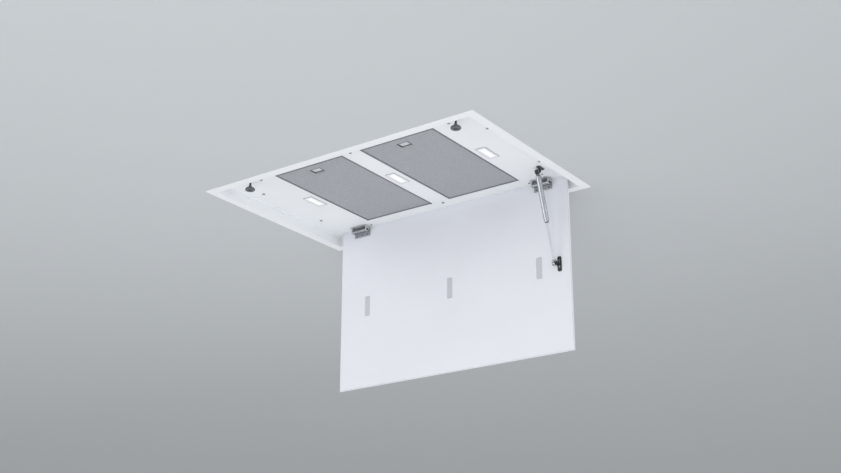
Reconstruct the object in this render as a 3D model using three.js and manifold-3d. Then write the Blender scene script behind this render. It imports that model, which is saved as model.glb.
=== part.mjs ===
// A range hood built into a ceiling: a shallow recess with a hinged cover panel, two grease filters,
// three lamps, and above the ceiling a housing with a centrifugal blower and a round duct collar.
// Millimetres, +Z up. The origin is the centre of the ceiling opening, in the plane of the ceiling's face.
// +X runs along the hood's length, +Y points to the hinge side. The panel hangs open, as it does at rest.
import * as THREE from 'three';
import { mergeVertices } from 'three/addons/utils/BufferGeometryUtils.js';
import Module from 'manifold-3d';

const wasm = await Module();
wasm.setup();

// ---- Clearances ----
const gap = 0.3;            // between two pieces that meet
const through = 2;          // how far a cutting tool runs past the face it cuts
const bite = 0.5;           // how far two joined bodies run into each other

// ---- Trim frame and face plate ----
const frameLength = 900;
const frameWidth = 600;
const flangeWidth = 25;
const frameSheet = 1.5;
const frameCorner = 3;
const recessDepth = 34.5;   // flange's lower face to the face plate's lower face
const frameLap = 8;         // frame wall above the face plate's lower face
const plateSheet = 1.2;
const plateLip = 7;

// ---- Cover panel and its hinge axis ----
const panelMargin = 25;     // recess wall to the shut panel's edge, all round
const panelThickness = 5;
const panelSheet = 1.2;
const linerSheet = 1;
const axisAhead = 15.2;     // hinge axis in front of the panel's inner face
const axisFromEdge = 8.6;   // hinge axis below the panel's top edge, with the panel open

// ---- Light windows in the panel, in line with the lamps when it is shut ----
const windowWidth = 18;
const windowLength = 62;
const windowFlange = 3;
const windowFlangeThickness = 1.8;

// ---- Filters ----
const filterLength = 425;   // along Y
const filterWidth = 240;    // along X
const filterPitch = 300;    // between the two filters' centres
const filterHeight = 10;
const filterSheet = 0.8;
const padSheet = 0.8;       // each face of the mesh pad, over its loose core
const filterEdge = 6;       // visible width of the filter frame's channel
const filterDropRoom = 1.7; // slot past the filter's hinge edge, so that it can swing down
const tabSpacing = 120;
const tabWidth = 20;
const tabReach = 8;
const tabSheet = 1.2;

// ---- Filter latch ----
const gripLength = 36;
const gripWidth = 24;
const gripFromEdge = 40.5;  // grip's centre from the filter's free edge
const gripHeight = 6.8;
const gripWall = 1.5;
const latchTravel = 7;
const boltWidth = 14;
const boltThickness = 2;
const boltReach = 5;        // past the filter's edge, over the face plate

// ---- Lamps ----
const lampPitch = 300;
const bezelWidth = 30;
const bezelLength = 74;
const bezelCorner = 4;
const bezelProud = 1.4;
const lampBodyWidth = 25;
const lampBodyLength = 69;
const lampBodyHeight = 22;
const lampWall = 2;
const lensWidth = 16;
const lensLength = 56;
const lensCorner = 1;
const lensThickness = 2.4;
const lensSet = 0.3;        // lens face above the bezel's face

// ---- Magnetic catches ----
const catchFromSide = 75;   // from the recess's side walls
const catchFromFront = 50;  // from the recess's front wall
const studRadius = 3;
const nutRadius = 5.8;
const nutHeight = 3;
const studAbove = 9;
const magnetRadius = 14;
const magnetHeight = 9;
const magnetDome = 5.5;     // height of the dome below the neck
const magnetChamfer = 1.5;
const magnetNeckRadius = 4.6;
const magnetNeck = 5;
const magnetSocket = 6;     // depth of the stud's socket in the magnet

// ---- Hinges ----
const hingeFromSide = 103;  // from the recess's side walls
const pinRadius = 2.5;
const pinRun = 0.3;
const pinProud = 1.5;       // pin past each ear
const barrelRadius = 4.8;
const barrelLength = 50;
const leafWidth = 58;
const leafHeight = 22;
const leafTop = 6.8;        // leaf's top edge above the hinge axis
const leafSheet = 2.5;
const footWidth = 62;
const footBack = 13.4;      // foot from the hinge axis towards the filters
const footFront = 9.6;
const footSheet = 2.5;
const footCorner = 8;
const earSheet = 3;
const earRadius = 5.6;

// ---- Gas strut ----
const strutFromSide = 69;   // from the recess's side wall
const strutFromBack = 107;  // upper ball from the recess's back wall
const strutTopDrop = 10;    // upper ball below the face plate
const strutBallAhead = 12;  // lower ball in front of the panel's inner face
const strutBallDrop = 251;  // lower ball below the panel's top edge, with the panel open
const ballRadius = 4;
const ballNeck = 2.4;
const socketRadius = 6;
const socketBack = 6;       // socket's closed side, from the ball's centre
const socketMouth = 3.2;    // socket's open side, from the ball's centre
const socketNeck = 4.8;
const socketReach = 9.75;   // neck's end from the ball's centre
const cylinderRadius = 7.5;
const cylinderEnd = 142;    // cylinder's lower end from the upper ball
const cylinderCrown = 3;
const cylinderHead = 6;     // closed end's thickness
const cylinderChamfer = 2;
const rodRadius = 3;
const rodInside = 18;       // rod inside the cylinder, with the panel open
const bracketEar = 2.5;
const bracketSet = 1;       // ear from the foot's near edge
const bracketWidth = 12;
const bracketFoot = 2.2;
const bracketCorner = 4;
const topBracketLength = 30;
const lowBracketLength = 43;

// ---- Housing above the ceiling ----
const housingSheet = 1.2;
const housingHeight = 178.5;
const housingLip = 12;
const beadLength = 380;
const beadWidth = 14;
const beadHeight = 3;
const beadPitch = 90;
const beadCount = 3;
const beadFromSide = 175;   // middle bead's centre line from the housing's side

// ---- Blower ----
const fanY = 0;
const scrollSheet = 2;
const scrollHeight = 111.5;
const scrollNear = 108;     // spiral's radius at the cut-off
const scrollFar = 165;      // spiral's radius where it meets the outlet
const outletNear = 58;      // outlet's inner wall from the fan's axis
const outletReach = 130;    // outlet's mouth from the fan's axis
const spiralSteps = 30;

// ---- Inlet ring ----
const throatRadius = 74;
const mouthCurve = 14;      // the bell's depth across
const bellHeight = 13;
const bellSheet = 1.5;
const bellFlange = 12;

// ---- Impeller and motor ----
const bladeCount = 32;
const bladeInner = 78;
const bladeDepth = 19;      // radially
const bladeTurn = 65;       // degrees that a blade's arc turns forward
const bladeSheet = 1.3;
const bladeSteps = 3;
const fanRunning = 1;       // between the inlet ring and the impeller
const rimHeight = 3;
const rimOuter = 98.5;
const backSheet = 2;
const backHole = 30;
const fanTopRoom = 14;      // scroll's inner top face to the impeller's back plate
const rotorRadius = 46;
const rotorHeight = 40;
const rotorWall = 3;
const shaftRadius = 4;
const statorRadius = 38;
const statorRoom = 3;       // stator to the rotor's floor
const motorFlangeRadius = 55;
const motorFlangeHeight = 4;
const motorNeckRadius = 24;
const motorCap = 1;         // metal above the shaft's bore
const shaftRoom = 1;        // shaft's end to the bore's

// ---- Duct and collar ----
const ductSheet = 1.2;
const ductSleeve = 12;      // duct inside the scroll's outlet
const ductRound = 14;       // straight round end
const ductPoints = 32;
const ductSteps = 4;
const collarRadius = 74.8;
const collarSheet = 1.2;
const collarReach = 50;     // past the housing's wall
const collarFlange = 84;
const collarFlangeSheet = 1.5;
const collarAxisZ = 127;
const beadBack = 17;        // collar's bead from its mouth
const beadRise = 1.5;
const collarInner = 14;     // collar inside the housing
const stopLip = 2.6;

// ---- Back-draught dampers ----
const damperInside = 2;     // damper pin inside the housing's inner face
const damperPin = 1.5;
const damperBarrel = 3.3;
const damperSheet = 1.2;
const damperSide = 0.8;     // flap's edge to the collar's wall
const damperKnuckle = 32;

// ---- Hangers ----
const hangerFromEnd = 73;   // hanger's middle from the housing's front or back
const hangerWidth = 40;
const hangerDrop = 50;
const hangerReach = 24;
const hangerSheet = 2;
const hangerBend = 2;
const hangerTopDown = 12;   // below the housing's top
const slotWidth = 9;
const slotLength = 22;

// ---- Terminal box ----
const boxLength = 160;
const boxWidth = 100;
const boxHeight = 30;
const boxWall = 2;
const boxFromSide = 113;    // box's middle from the housing's side
const boxFromFront = 123;   // box's middle from the housing's front
const coverRise = 4;
const coverRim = 1.5;
const glandRadius = 9;
const glandBore = 4.5;
const glandThread = 6;
const glandTail = 3;        // thread past the box's wall
const glandNut = 12;        // nut's end from the box
const glandNose = 7;        // radius at the outer end
const glandReach = 22;

// ---- Plate screws ----
const screwHeadRadius = 4.2;
const screwHeadHeight = 2.4;
const screwRadius = 2;
const screwRim = 1;         // height of the head's straight edge
const screwAbove = 8;
const screwFromFront = 61;  // front row, from the recess's front wall
const screwRowFromSide = 105;
const screwFromSide = 40;   // side columns, from the recess's side walls
const screwPitch = 260;     // between a side column's two screws
const screwFromBack = 50;

// ---- Derived places ----
const recessLength = frameLength - 2 * flangeWidth;
const recessWidth = frameWidth - 2 * flangeWidth;
const flangeLow = -frameSheet;
const plateLow = flangeLow + recessDepth;
const plateHigh = plateLow + plateSheet;
const plateLength = recessLength - 2 * gap;
const plateWidth = recessWidth - 2 * gap;
const panelLength = recessLength - 2 * panelMargin;
const panelDepth = recessWidth - 2 * panelMargin;
const axisY = panelDepth / 2 - axisFromEdge;
const axisZ = flangeLow + panelThickness + axisAhead;
const housingLength = plateLength - 2 * (plateSheet + gap);
const housingWidth = plateWidth - 2 * (plateSheet + gap);
const housingLow = plateHigh + gap;
const housingTop = housingLow + housingHeight;
const housingInnerY = housingWidth / 2 - housingSheet;
const scrollTop = housingTop - housingSheet - gap;
const scrollLow = scrollTop - scrollHeight;
const fanX = -(outletNear + scrollFar) / 2;
const bellLow = scrollLow - gap - bellSheet;
const fanLow = bellLow + bellHeight + fanRunning;
const fanTop = scrollTop - scrollSheet - fanTopRoom;
const collarStart = housingInnerY - collarInner;
const catchX = recessLength / 2 - catchFromSide;
const catchY = catchFromFront - recessWidth / 2;
const hingeX = recessLength / 2 - hingeFromSide;
const strutX = recessLength / 2 - strutFromSide;
const strutTopY = recessWidth / 2 - strutFromBack;
const beadX = housingLength / 2 - beadFromSide;
const hangerY = housingWidth / 2 - hangerFromEnd;
const boxX = boxFromSide - housingLength / 2;
const boxY = boxFromFront - housingWidth / 2;
const screwFrontY = screwFromFront - recessWidth / 2;
const screwRowX = recessLength / 2 - screwRowFromSide;
const screwSideX = recessLength / 2 - screwFromSide;
const screwPlaces = [
  [-screwRowX, screwFrontY], [0, screwFrontY], [screwRowX, screwFrontY],
  [-screwSideX, -screwPitch / 2], [screwSideX, -screwPitch / 2],
  [-screwSideX, screwPitch / 2], [screwSideX, screwPitch / 2], [0, recessWidth / 2 - screwFromBack],
];

// ---- Finishes ----
const white = finish(0xe4e7ea, 0.42, 0.05);
const zinc = finish(0xb4b8ba, 0.38, 0.8);
const filterMetal = finish(0x9fa3aa, 0.45, 0.7);
const black = finish(0x26282b, 0.5, 0.2);
const chrome = finish(0xd4d6d8, 0.15, 1);
const hingeSteel = finish(0x6f7276, 0.35, 0.85);
const frosted = finish(0xbfc2c6, 0.6, 0);
const glow = finish(0xfbfcff, 0.3, 0);
const darkPlastic = finish(0x3a3d40, 0.6, 0);
const palePlastic = finish(0xcfd2d4, 0.55, 0);

function finish(color, roughness, metalness) {
  return new THREE.MeshStandardMaterial({ color, roughness, metalness });
}

// ---- Solids from three.js geometry ----

// A closed geometry as a manifold solid, without the slivers that a revolve leaves on its axis.
function solid(geometry) {
  const bare = geometry.clone();
  bare.deleteAttribute('normal');
  bare.deleteAttribute('uv');
  const merged = mergeVertices(bare, 1e-4);
  const corners = merged.index.array;
  const triangles = [];
  for (let i = 0; i < corners.length; i += 3) {
    const [a, b, c] = [corners[i], corners[i + 1], corners[i + 2]];
    if (a !== b && b !== c && c !== a) triangles.push(a, b, c);
  }
  return new wasm.Manifold(new wasm.Mesh({
    numProp: 3,
    vertProperties: merged.attributes.position.array,
    triVerts: new Uint32Array(triangles),
  }));
}

function geometryOf(body) {
  const { vertProperties, triVerts } = body.getMesh();
  const geometry = new THREE.BufferGeometry();
  geometry.setAttribute('position', new THREE.BufferAttribute(new Float32Array(vertProperties), 3));
  geometry.setIndex(new THREE.BufferAttribute(new Uint32Array(triVerts), 1));
  const flat = geometry.toNonIndexed();
  flat.computeVertexNormals();
  return flat;
}

function piece(name, body, material) {
  const made = new THREE.Mesh(geometryOf(body), material);
  made.name = name;
  return made;
}

function union(bodies) {
  return bodies.reduce((all, one) => all.add(one));
}

function cut(body, tools) {
  return tools.reduce((rest, tool) => rest.subtract(tool), body);
}

function block([x0, x1], [y0, y1], [z0, z1]) {
  const geometry = new THREE.BoxGeometry(x1 - x0, y1 - y0, z1 - z0);
  geometry.translate((x0 + x1) / 2, (y0 + y1) / 2, (z0 + z1) / 2);
  return solid(geometry);
}

// A block of a given size, centred on x and y.
function slab(length, width, low, high, x = 0, y = 0) {
  return block([x - length / 2, x + length / 2], [y - width / 2, y + width / 2], [low, high]);
}

function cylinder(radius, start, end, sides = 16) {
  const from = new THREE.Vector3(...start);
  const along = new THREE.Vector3(...end).sub(from);
  const geometry = new THREE.CylinderGeometry(radius, radius, along.length(), sides);
  geometry.translate(0, along.length() / 2, 0);
  geometry.applyQuaternion(
    new THREE.Quaternion().setFromUnitVectors(new THREE.Vector3(0, 1, 0), along.normalize()),
  );
  geometry.translate(from.x, from.y, from.z);
  return solid(geometry);
}

function prism(shape, low, high, curveSegments = 3) {
  const geometry = new THREE.ExtrudeGeometry(shape, {
    depth: high - low, bevelEnabled: false, steps: 1, curveSegments,
  });
  geometry.translate(0, 0, low);
  return solid(geometry);
}

function roundedRectangle(length, width, radius) {
  const x = length / 2;
  const y = width / 2;
  const shape = new THREE.Shape();
  shape.moveTo(-x + radius, -y);
  shape.absarc(x - radius, -y + radius, radius, -Math.PI / 2, 0);
  shape.absarc(x - radius, y - radius, radius, 0, Math.PI / 2);
  shape.absarc(-x + radius, y - radius, radius, Math.PI / 2, Math.PI);
  shape.absarc(-x + radius, -y + radius, radius, Math.PI, Math.PI * 1.5);
  return shape;
}

// A profile of [radius, height] points turned round the Y axis: closed on itself, or both ends on the axis.
function turned(profile, sides = 32) {
  return solid(new THREE.LatheGeometry(profile.map(([r, h]) => new THREE.Vector2(r, h)), sides));
}

// The same, turned round the Z axis.
function turnedUp(profile, sides = 32) {
  return turned(profile, sides).rotate([90, 0, 0]);
}

// ---- Trim frame, face plate and housing ----

function trimFrame() {
  const wallTop = plateLow + frameLap;
  const flange = prism(roundedRectangle(frameLength, frameWidth, frameCorner), flangeLow, 0);
  const wall = slab(recessLength + 2 * frameSheet, recessWidth + 2 * frameSheet, flangeLow, wallTop);
  const opening = slab(recessLength, recessWidth, flangeLow - through, wallTop + through);
  return flange.add(wall).subtract(opening);
}

function filterOpening(x) {
  const half = filterLength / 2;
  return block(
    [x - filterWidth / 2 - gap, x + filterWidth / 2 + gap],
    [-half - gap, half + filterDropRoom],
    [plateLow - through, plateHigh + through],
  );
}

function facePlate() {
  const sheet = slab(plateLength, plateWidth, plateLow, plateLow + plateLip);
  const inside = slab(
    plateLength - 2 * plateSheet, plateWidth - 2 * plateSheet, plateHigh, plateLow + plateLip + through,
  );
  const holes = [-1, 1].flatMap((side) => [
    filterOpening(side * filterPitch / 2),
    plateHole(side * catchX, catchY, studRadius + gap),
  ]);
  const lamps = [-1, 0, 1].map((n) => slab(
    lampBodyWidth + 2 * gap, lampBodyLength + 2 * gap, plateLow - through, plateHigh + through, n * lampPitch,
  ));
  const screws = screwPlaces.map(([x, y]) => plateHole(x, y, screwRadius + gap));
  return cut(sheet, [inside, ...holes, ...lamps, ...screws]);
}

function plateHole(x, y, radius) {
  return cylinder(radius, [x, y, plateLow - through], [x, y, plateHigh + through], 10);
}

function bead(x, proud, low, high) {
  const outline = roundedRectangle(beadWidth + 2 * proud, beadLength + 2 * proud, beadWidth / 2 + proud);
  return prism(outline, low, high).translate([x, 0, 0]);
}

function housing() {
  const inner = [housingLength - 2 * housingSheet, housingWidth - 2 * housingSheet];
  const shell = slab(housingLength, housingWidth, housingLow, housingTop)
    .subtract(slab(...inner, housingLow + housingSheet, housingTop - housingSheet))
    .subtract(slab(
      inner[0] - 2 * housingLip, inner[1] - 2 * housingLip, housingLow - through, housingTop - housingSheet,
    ));
  const beads = Array.from({ length: beadCount }, (_, i) => beadX + (i - (beadCount - 1) / 2) * beadPitch);
  const raised = beads.map((x) => bead(x, 0, housingTop - housingSheet, housingTop + beadHeight));
  const pressed = beads.map((x) => bead(
    x, -housingSheet, housingTop - housingSheet - through, housingTop + beadHeight - housingSheet,
  ));
  const outlet = cylinder(
    collarRadius + gap,
    [0, housingInnerY - through, collarAxisZ], [0, housingWidth / 2 + through, collarAxisZ], 32,
  );
  return cut(union([shell, ...raised]), [...pressed, outlet]);
}

// ---- Blower ----

// The scroll's outline seen from above, about the fan's axis, moved inwards by inset.
function scrollOutline(inset) {
  const cutOff = Math.acos(outletNear / scrollNear);
  const first = Math.acos((outletNear + inset) / (scrollNear - inset));
  const shape = new THREE.Shape();
  shape.moveTo(scrollFar - inset, outletReach);
  for (let i = 0; i <= spiralSteps; i++) {
    const angle = 2 * Math.PI + (first - 2 * Math.PI) * i / spiralSteps;
    const grown = Math.max(0, (angle - cutOff) / (2 * Math.PI - cutOff));
    const radius = scrollNear + (scrollFar - scrollNear) * grown - inset;
    shape.lineTo(radius * Math.cos(angle), radius * Math.sin(angle));
  }
  shape.lineTo(outletNear + inset, outletReach);
  return shape;
}

function blowerScroll() {
  const outside = prism(scrollOutline(0), scrollLow, scrollTop);
  const inside = prism(scrollOutline(scrollSheet), scrollLow + scrollSheet, scrollTop - scrollSheet);
  const mouth = block(
    [outletNear + scrollSheet, scrollFar - scrollSheet],
    [outletReach - through, outletReach + through],
    [scrollLow + scrollSheet, scrollTop - scrollSheet],
  );
  const inlet = cylinder(
    throatRadius + mouthCurve + gap, [0, 0, scrollLow - through], [0, 0, scrollLow + scrollSheet + through], 36,
  );
  return cut(outside, [inside, mouth, inlet]);
}

// A quarter of an ellipse, from the bell's flat mouth to its upright throat.
function bellCurve(across, up, steps = 4) {
  return Array.from({ length: steps + 1 }, (_, i) => {
    const angle = Math.PI / 2 * i / steps;
    return [
      throatRadius + mouthCurve - across * Math.sin(angle),
      bellLow + bellHeight - up * Math.cos(angle),
    ];
  });
}

function inletRing() {
  const rim = throatRadius + mouthCurve + bellFlange;
  const over = bellCurve(mouthCurve - bellSheet, bellHeight - bellSheet);
  const under = bellCurve(mouthCurve, bellHeight).reverse();
  return turnedUp([[rim, bellLow], [rim, bellLow + bellSheet], ...over, ...under, [rim, bellLow]], 32);
}

// A forward-curved blade: it leaves the eye radially and turns the way that the impeller spins.
function bladeOutline() {
  const turn = THREE.MathUtils.degToRad(bladeTurn);
  const radius = bladeDepth / Math.sin(turn);
  const arc = (r) => Array.from({ length: bladeSteps + 1 }, (_, i) => {
    const angle = turn * i / bladeSteps;
    return new THREE.Vector2(bladeInner + r * Math.sin(angle), radius - r * Math.cos(angle));
  });
  return new THREE.Shape([...arc(radius + bladeSheet / 2), ...arc(radius - bladeSheet / 2).reverse()]);
}

function impeller() {
  const rimInner = bladeInner - bladeSheet;
  const rimTop = fanLow + rimHeight;
  const blade = prism(bladeOutline(), rimTop - bite, fanTop - backSheet + bite);
  const blades = Array.from({ length: bladeCount }, (_, i) => blade.rotate([0, 0, 360 * i / bladeCount]));
  const disc = (inner, low, high) => turnedUp([
    [inner, low], [rimOuter, low], [rimOuter, high], [inner, high], [inner, low],
  ], bladeCount);
  return union([disc(backHole, fanTop - backSheet, fanTop), disc(rimInner, fanLow, rimTop), ...blades]);
}

const rotorTop = fanTop - backSheet - gap;
const rotorLow = rotorTop - rotorHeight;
const motorTop = scrollTop - scrollSheet - gap;

function rotorCup() {
  const shaftTop = motorTop - motorCap - shaftRoom;
  return turnedUp([
    [0, rotorLow], [rotorRadius - rotorWall, rotorLow], [rotorRadius, rotorLow + rotorWall],
    [rotorRadius, rotorTop], [rotorRadius - rotorWall, rotorTop],
    [rotorRadius - rotorWall, rotorLow + rotorWall], [shaftRadius, rotorLow + rotorWall],
    [shaftRadius, shaftTop], [0, shaftTop],
  ], 28);
}

function motorBase() {
  const bore = shaftRadius + gap;
  const boreTop = motorTop - motorCap;
  const statorLow = rotorLow + rotorWall + statorRoom;
  const statorTop = rotorTop - statorRoom;
  const mountLow = motorTop - motorFlangeHeight;
  return turnedUp([
    [bore, statorLow], [statorRadius, statorLow], [statorRadius, statorTop], [motorNeckRadius, statorTop],
    [motorNeckRadius, mountLow], [motorFlangeRadius, mountLow], [motorFlangeRadius, motorTop],
    [0, motorTop], [0, boreTop], [bore, boreTop], [bore, statorLow],
  ], 28);
}

// ---- Duct from the scroll's square outlet to the round collar ----

// Loops of points with the same count, joined in turn and the last to the first, as one closed tube wall.
function ringLoft(loops) {
  const count = loops[0].length;
  const triangles = [];
  loops.forEach((loop, n) => {
    const next = (n + 1) % loops.length;
    for (let i = 0; i < count; i++) {
      const j = (i + 1) % count;
      const [a, b, c, d] = [n * count + i, n * count + j, next * count + j, next * count + i];
      triangles.push(a, c, b, a, d, c);
    }
  });
  const geometry = new THREE.BufferGeometry();
  geometry.setAttribute('position', new THREE.Float32BufferAttribute(loops.flat(2), 3));
  geometry.setIndex(triangles);
  return solid(geometry);
}

// One section of the duct: round is 0 for the oblong mouth and 1 for the round end.
function ductLoop(y, round, inset) {
  const halfX = (scrollFar - outletNear) / 2 - scrollSheet - gap - inset;
  const halfZ = scrollHeight / 2 - scrollSheet - gap - inset;
  const midZ = (scrollLow + scrollTop) / 2;
  const radius = collarRadius - inset;
  const side = ductPoints / 4;
  return Array.from({ length: ductPoints }, (_, i) => {
    const angle = Math.PI / 4 + 2 * Math.PI * i / ductPoints;
    const reach = 2 * (i % side) / side - 1;
    const [across, up] = [[-reach, 1], [-1, -reach], [reach, -1], [1, reach]][Math.floor(i / side)];
    return [
      THREE.MathUtils.lerp(across * halfX, radius * Math.cos(angle), round),
      y,
      THREE.MathUtils.lerp(midZ + up * halfZ, collarAxisZ + radius * Math.sin(angle), round),
    ];
  });
}

function outletDuct() {
  const start = fanY + outletReach - ductSleeve;
  const end = collarStart - gap;
  const bend = [fanY + outletReach, end - ductRound];
  const sections = [[start, 0]];
  for (let i = 0; i <= ductSteps; i++) {
    const part = i / ductSteps;
    sections.push([THREE.MathUtils.lerp(...bend, part), THREE.MathUtils.smoothstep(part, 0, 1)]);
  }
  sections.push([end, 1]);
  const outside = sections.map(([y, round]) => ductLoop(y, round, 0));
  const inside = sections.map(([y, round]) => ductLoop(y, round, ductSheet)).reverse();
  return ringLoft([...outside, ...inside]);
}

// ---- Collar and dampers, turned round the duct's axis ----

const damperY = housingInnerY - damperInside;

function outletCollar() {
  const wallOut = housingWidth / 2;
  const end = wallOut + collarReach;
  const bore = collarRadius - collarSheet;
  const flangeIn = wallOut + gap;
  const stopEnd = damperY - damperSheet / 2 - gap;
  const tube = turned([
    [bore, collarStart], [collarRadius, collarStart], [collarRadius, flangeIn], [collarFlange, flangeIn],
    [collarFlange, flangeIn + collarFlangeSheet], [collarRadius, flangeIn + collarFlangeSheet],
    [collarRadius, end - beadBack - beadRise], [collarRadius + beadRise, end - beadBack],
    [collarRadius, end - beadBack + beadRise], [collarRadius, end], [bore, end],
    [bore, stopEnd], [bore - stopLip, stopEnd], [bore - stopLip, stopEnd - collarSheet],
    [bore, stopEnd - collarSheet], [bore, collarStart],
  ], 32);
  const reach = collarRadius - collarSheet / 2;
  const pin = cylinder(damperPin, [0, damperY, -reach], [0, damperY, reach], 12);
  return tube.add(pin).translate([0, 0, collarAxisZ]);
}

// A half-round flap on the side +X or -X of the pin, with two knuckles on it between its neighbour's two.
function damperFlap(side) {
  const radius = collarRadius - collarSheet - damperSide;
  const half = new THREE.Shape();
  half.absarc(0, 0, radius, -Math.PI / 2, Math.PI / 2);
  const knuckles = [-1, 1].map((end) => {
    const low = (side > 0 ? end - 1 : end) * damperKnuckle;
    return [low + gap / 2, low + damperKnuckle - gap / 2];
  }).sort((a, b) => a[0] - b[0]);
  const others = knuckles.map(([low, high]) => [
    low + side * damperKnuckle - gap, high + side * damperKnuckle + gap,
  ]);
  const upright = (r, [low, high]) => cylinder(r, [0, 0, low], [0, 0, high], 12);
  const sheet = prism(half, -damperSheet / 2, damperSheet / 2, 20).rotate([90, 0, 0]);
  const turnedSheet = side > 0 ? sheet : sheet.rotate([0, 0, 180]);
  const flap = union([
    cut(turnedSheet, [
      ...others.map((span) => upright(damperBarrel + gap, span)),
      block([-damperBarrel, damperBarrel], [-through, through], [2 * damperKnuckle, radius + through]),
      block([-damperBarrel, damperBarrel], [-through, through], [-radius - through, -2 * damperKnuckle]),
    ]),
    ...knuckles.map((span) => upright(damperBarrel, span)),
  ]);
  return flap.subtract(upright(damperPin + gap, [-radius - through, radius + through]));
}

// ---- Hanger: a folded bracket with a slot for a threaded rod ----

function hanger() {
  const outer = hangerBend + hangerSheet;
  const fold = new THREE.Shape();
  fold.moveTo(0, -hangerDrop);
  fold.lineTo(hangerSheet, -hangerDrop);
  fold.lineTo(hangerSheet, -outer);
  fold.absarc(outer, -outer, hangerBend, Math.PI, Math.PI / 2, true);
  fold.lineTo(hangerReach, -hangerSheet);
  fold.lineTo(hangerReach, 0);
  fold.lineTo(outer, 0);
  fold.absarc(outer, -outer, outer, Math.PI / 2, Math.PI);
  const slotMiddle = (hangerReach + outer) / 2;
  const slot = prism(roundedRectangle(slotWidth, slotLength, slotWidth / 2), -hangerSheet - through, through)
    .translate([slotMiddle, 0, 0]);
  return prism(fold, -hangerWidth / 2, hangerWidth / 2).rotate([90, 0, 0]).subtract(slot);
}

// ---- Terminal box ----

const boxLow = housingTop + gap;

function terminalBox() {
  const shell = slab(boxLength, boxWidth, boxLow, boxLow + boxHeight);
  const inside = slab(boxLength - 2 * boxWall, boxWidth - 2 * boxWall, boxLow + boxWall, boxLow + boxHeight + through);
  const entry = cylinder(
    glandThread + gap,
    [-boxLength / 2 - through, 0, boxLow + boxHeight / 2],
    [-boxLength / 2 + boxWall + through, 0, boxLow + boxHeight / 2], 20,
  );
  return cut(shell, [inside, entry]);
}

function terminalCover() {
  const seat = boxLow + boxHeight + gap;
  const lid = prism(
    roundedRectangle(boxLength + 2 * coverRim, boxWidth + 2 * coverRim, coverRim), seat, seat + coverRise,
  );
  const inset = 2 * (boxWall + gap);
  const plug = slab(boxLength - inset, boxWidth - inset, seat - boxWall - gap, seat + coverRise / 2);
  const hollow = slab(
    boxLength - inset - 2 * boxWall, boxWidth - inset - 2 * boxWall, seat - boxWall - through, seat + coverRise / 2,
  );
  return cut(union([lid, plug]), [hollow]);
}

// The cable gland, turned round its own axis: threaded end at 0, domed nut outwards.
function cableGland() {
  const inner = boxWall + glandTail;
  return turned([
    [glandBore, -inner], [glandThread, -inner], [glandThread, gap], [glandRadius, gap],
    [glandRadius, glandNut], [glandNose, glandReach], [glandBore, glandReach], [glandBore, -inner],
  ], 16);
}

// ---- Lamps, about the point of the face plate under each lamp's centre ----

function lampBody() {
  const rim = prism(roundedRectangle(bezelWidth, bezelLength, bezelCorner), -bezelProud, -gap);
  const body = slab(lampBodyWidth, lampBodyLength, -gap - bite, lampBodyHeight);
  const hollow = slab(lampBodyWidth - 2 * lampWall, lampBodyLength - 2 * lampWall, 0, lampBodyHeight - lampWall);
  const aperture = slab(lensWidth + 2 * gap, lensLength + 2 * gap, -bezelProud - through, through);
  return cut(union([rim, body]), [hollow, aperture]);
}

function lampLens() {
  const low = -bezelProud + lensSet;
  return prism(roundedRectangle(lensWidth, lensLength, lensCorner), low, low + lensThickness);
}

// ---- Magnetic catches, about the point of the face plate above each ----

const magnetLow = flangeLow + panelThickness + gap - plateLow;

function catchStud() {
  const plate = plateHigh - plateLow;
  const nut = (low) => cylinder(nutRadius, [0, 0, low], [0, 0, low + nutHeight], 6);
  const floor = magnetLow + magnetHeight + magnetNeck - magnetSocket + gap;
  return union([
    cylinder(studRadius, [0, 0, floor], [0, 0, plate + studAbove], 16),
    nut(-gap - nutHeight),
    nut(plate + gap),
  ]);
}

function catchMagnet() {
  const top = magnetLow + magnetHeight;
  const neckTop = top + magnetNeck;
  const socket = neckTop - magnetSocket;
  const steps = 4;
  const dome = Array.from({ length: steps + 1 }, (_, i) => {
    const angle = Math.PI / 2 * i / steps;
    return [
      magnetNeckRadius + (magnetRadius - magnetNeckRadius) * Math.cos(angle),
      top - magnetDome * (1 - Math.sin(angle)),
    ];
  });
  return turnedUp([
    [0, magnetLow], [magnetRadius - magnetChamfer, magnetLow], [magnetRadius, magnetLow + magnetChamfer],
    ...dome, [magnetNeckRadius, neckTop],
    [studRadius + gap, neckTop], [studRadius + gap, socket], [0, socket],
  ], 20);
}

// ---- Plate screw ----

function plateScrew() {
  const steps = 3;
  const crown = screwHeadHeight - screwRim;
  const dome = Array.from({ length: steps + 1 }, (_, i) => {
    const angle = Math.PI / 2 * i / steps;
    return [screwHeadRadius * Math.sin(angle), -gap - screwRim - crown * Math.cos(angle)];
  });
  return turnedUp([
    ...dome, [screwHeadRadius, -gap], [screwRadius, -gap],
    [screwRadius, plateSheet + screwAbove], [0, plateSheet + screwAbove],
  ], 10);
}

// ---- Hinges, about the hinge axis ----

function hingeBase() {
  const seat = plateLow - axisZ - gap;
  const earX = barrelLength / 2 + gap;
  const foot = prism(
    roundedRectangle(footWidth, footBack + footFront, footCorner), seat - footSheet, seat,
  ).translate([0, (footFront - footBack) / 2, 0]);
  const ears = [-1, 1].map((side) => {
    const span = side > 0 ? [earX, earX + earSheet] : [-earX - earSheet, -earX];
    return union([
      cylinder(earRadius, [span[0], 0, 0], [span[1], 0, 0]),
      block(span, [-earRadius, footFront], [0, seat - footSheet / 2]),
    ]);
  });
  const bore = cylinder(pinRadius + pinRun, [-footWidth, 0, 0], [footWidth, 0, 0]);
  return union([foot, ...ears]).subtract(bore);
}

function hingePin() {
  const end = barrelLength / 2 + gap + earSheet + pinProud;
  return cylinder(pinRadius, [-end, 0, 0], [end, 0, 0]);
}

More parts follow.
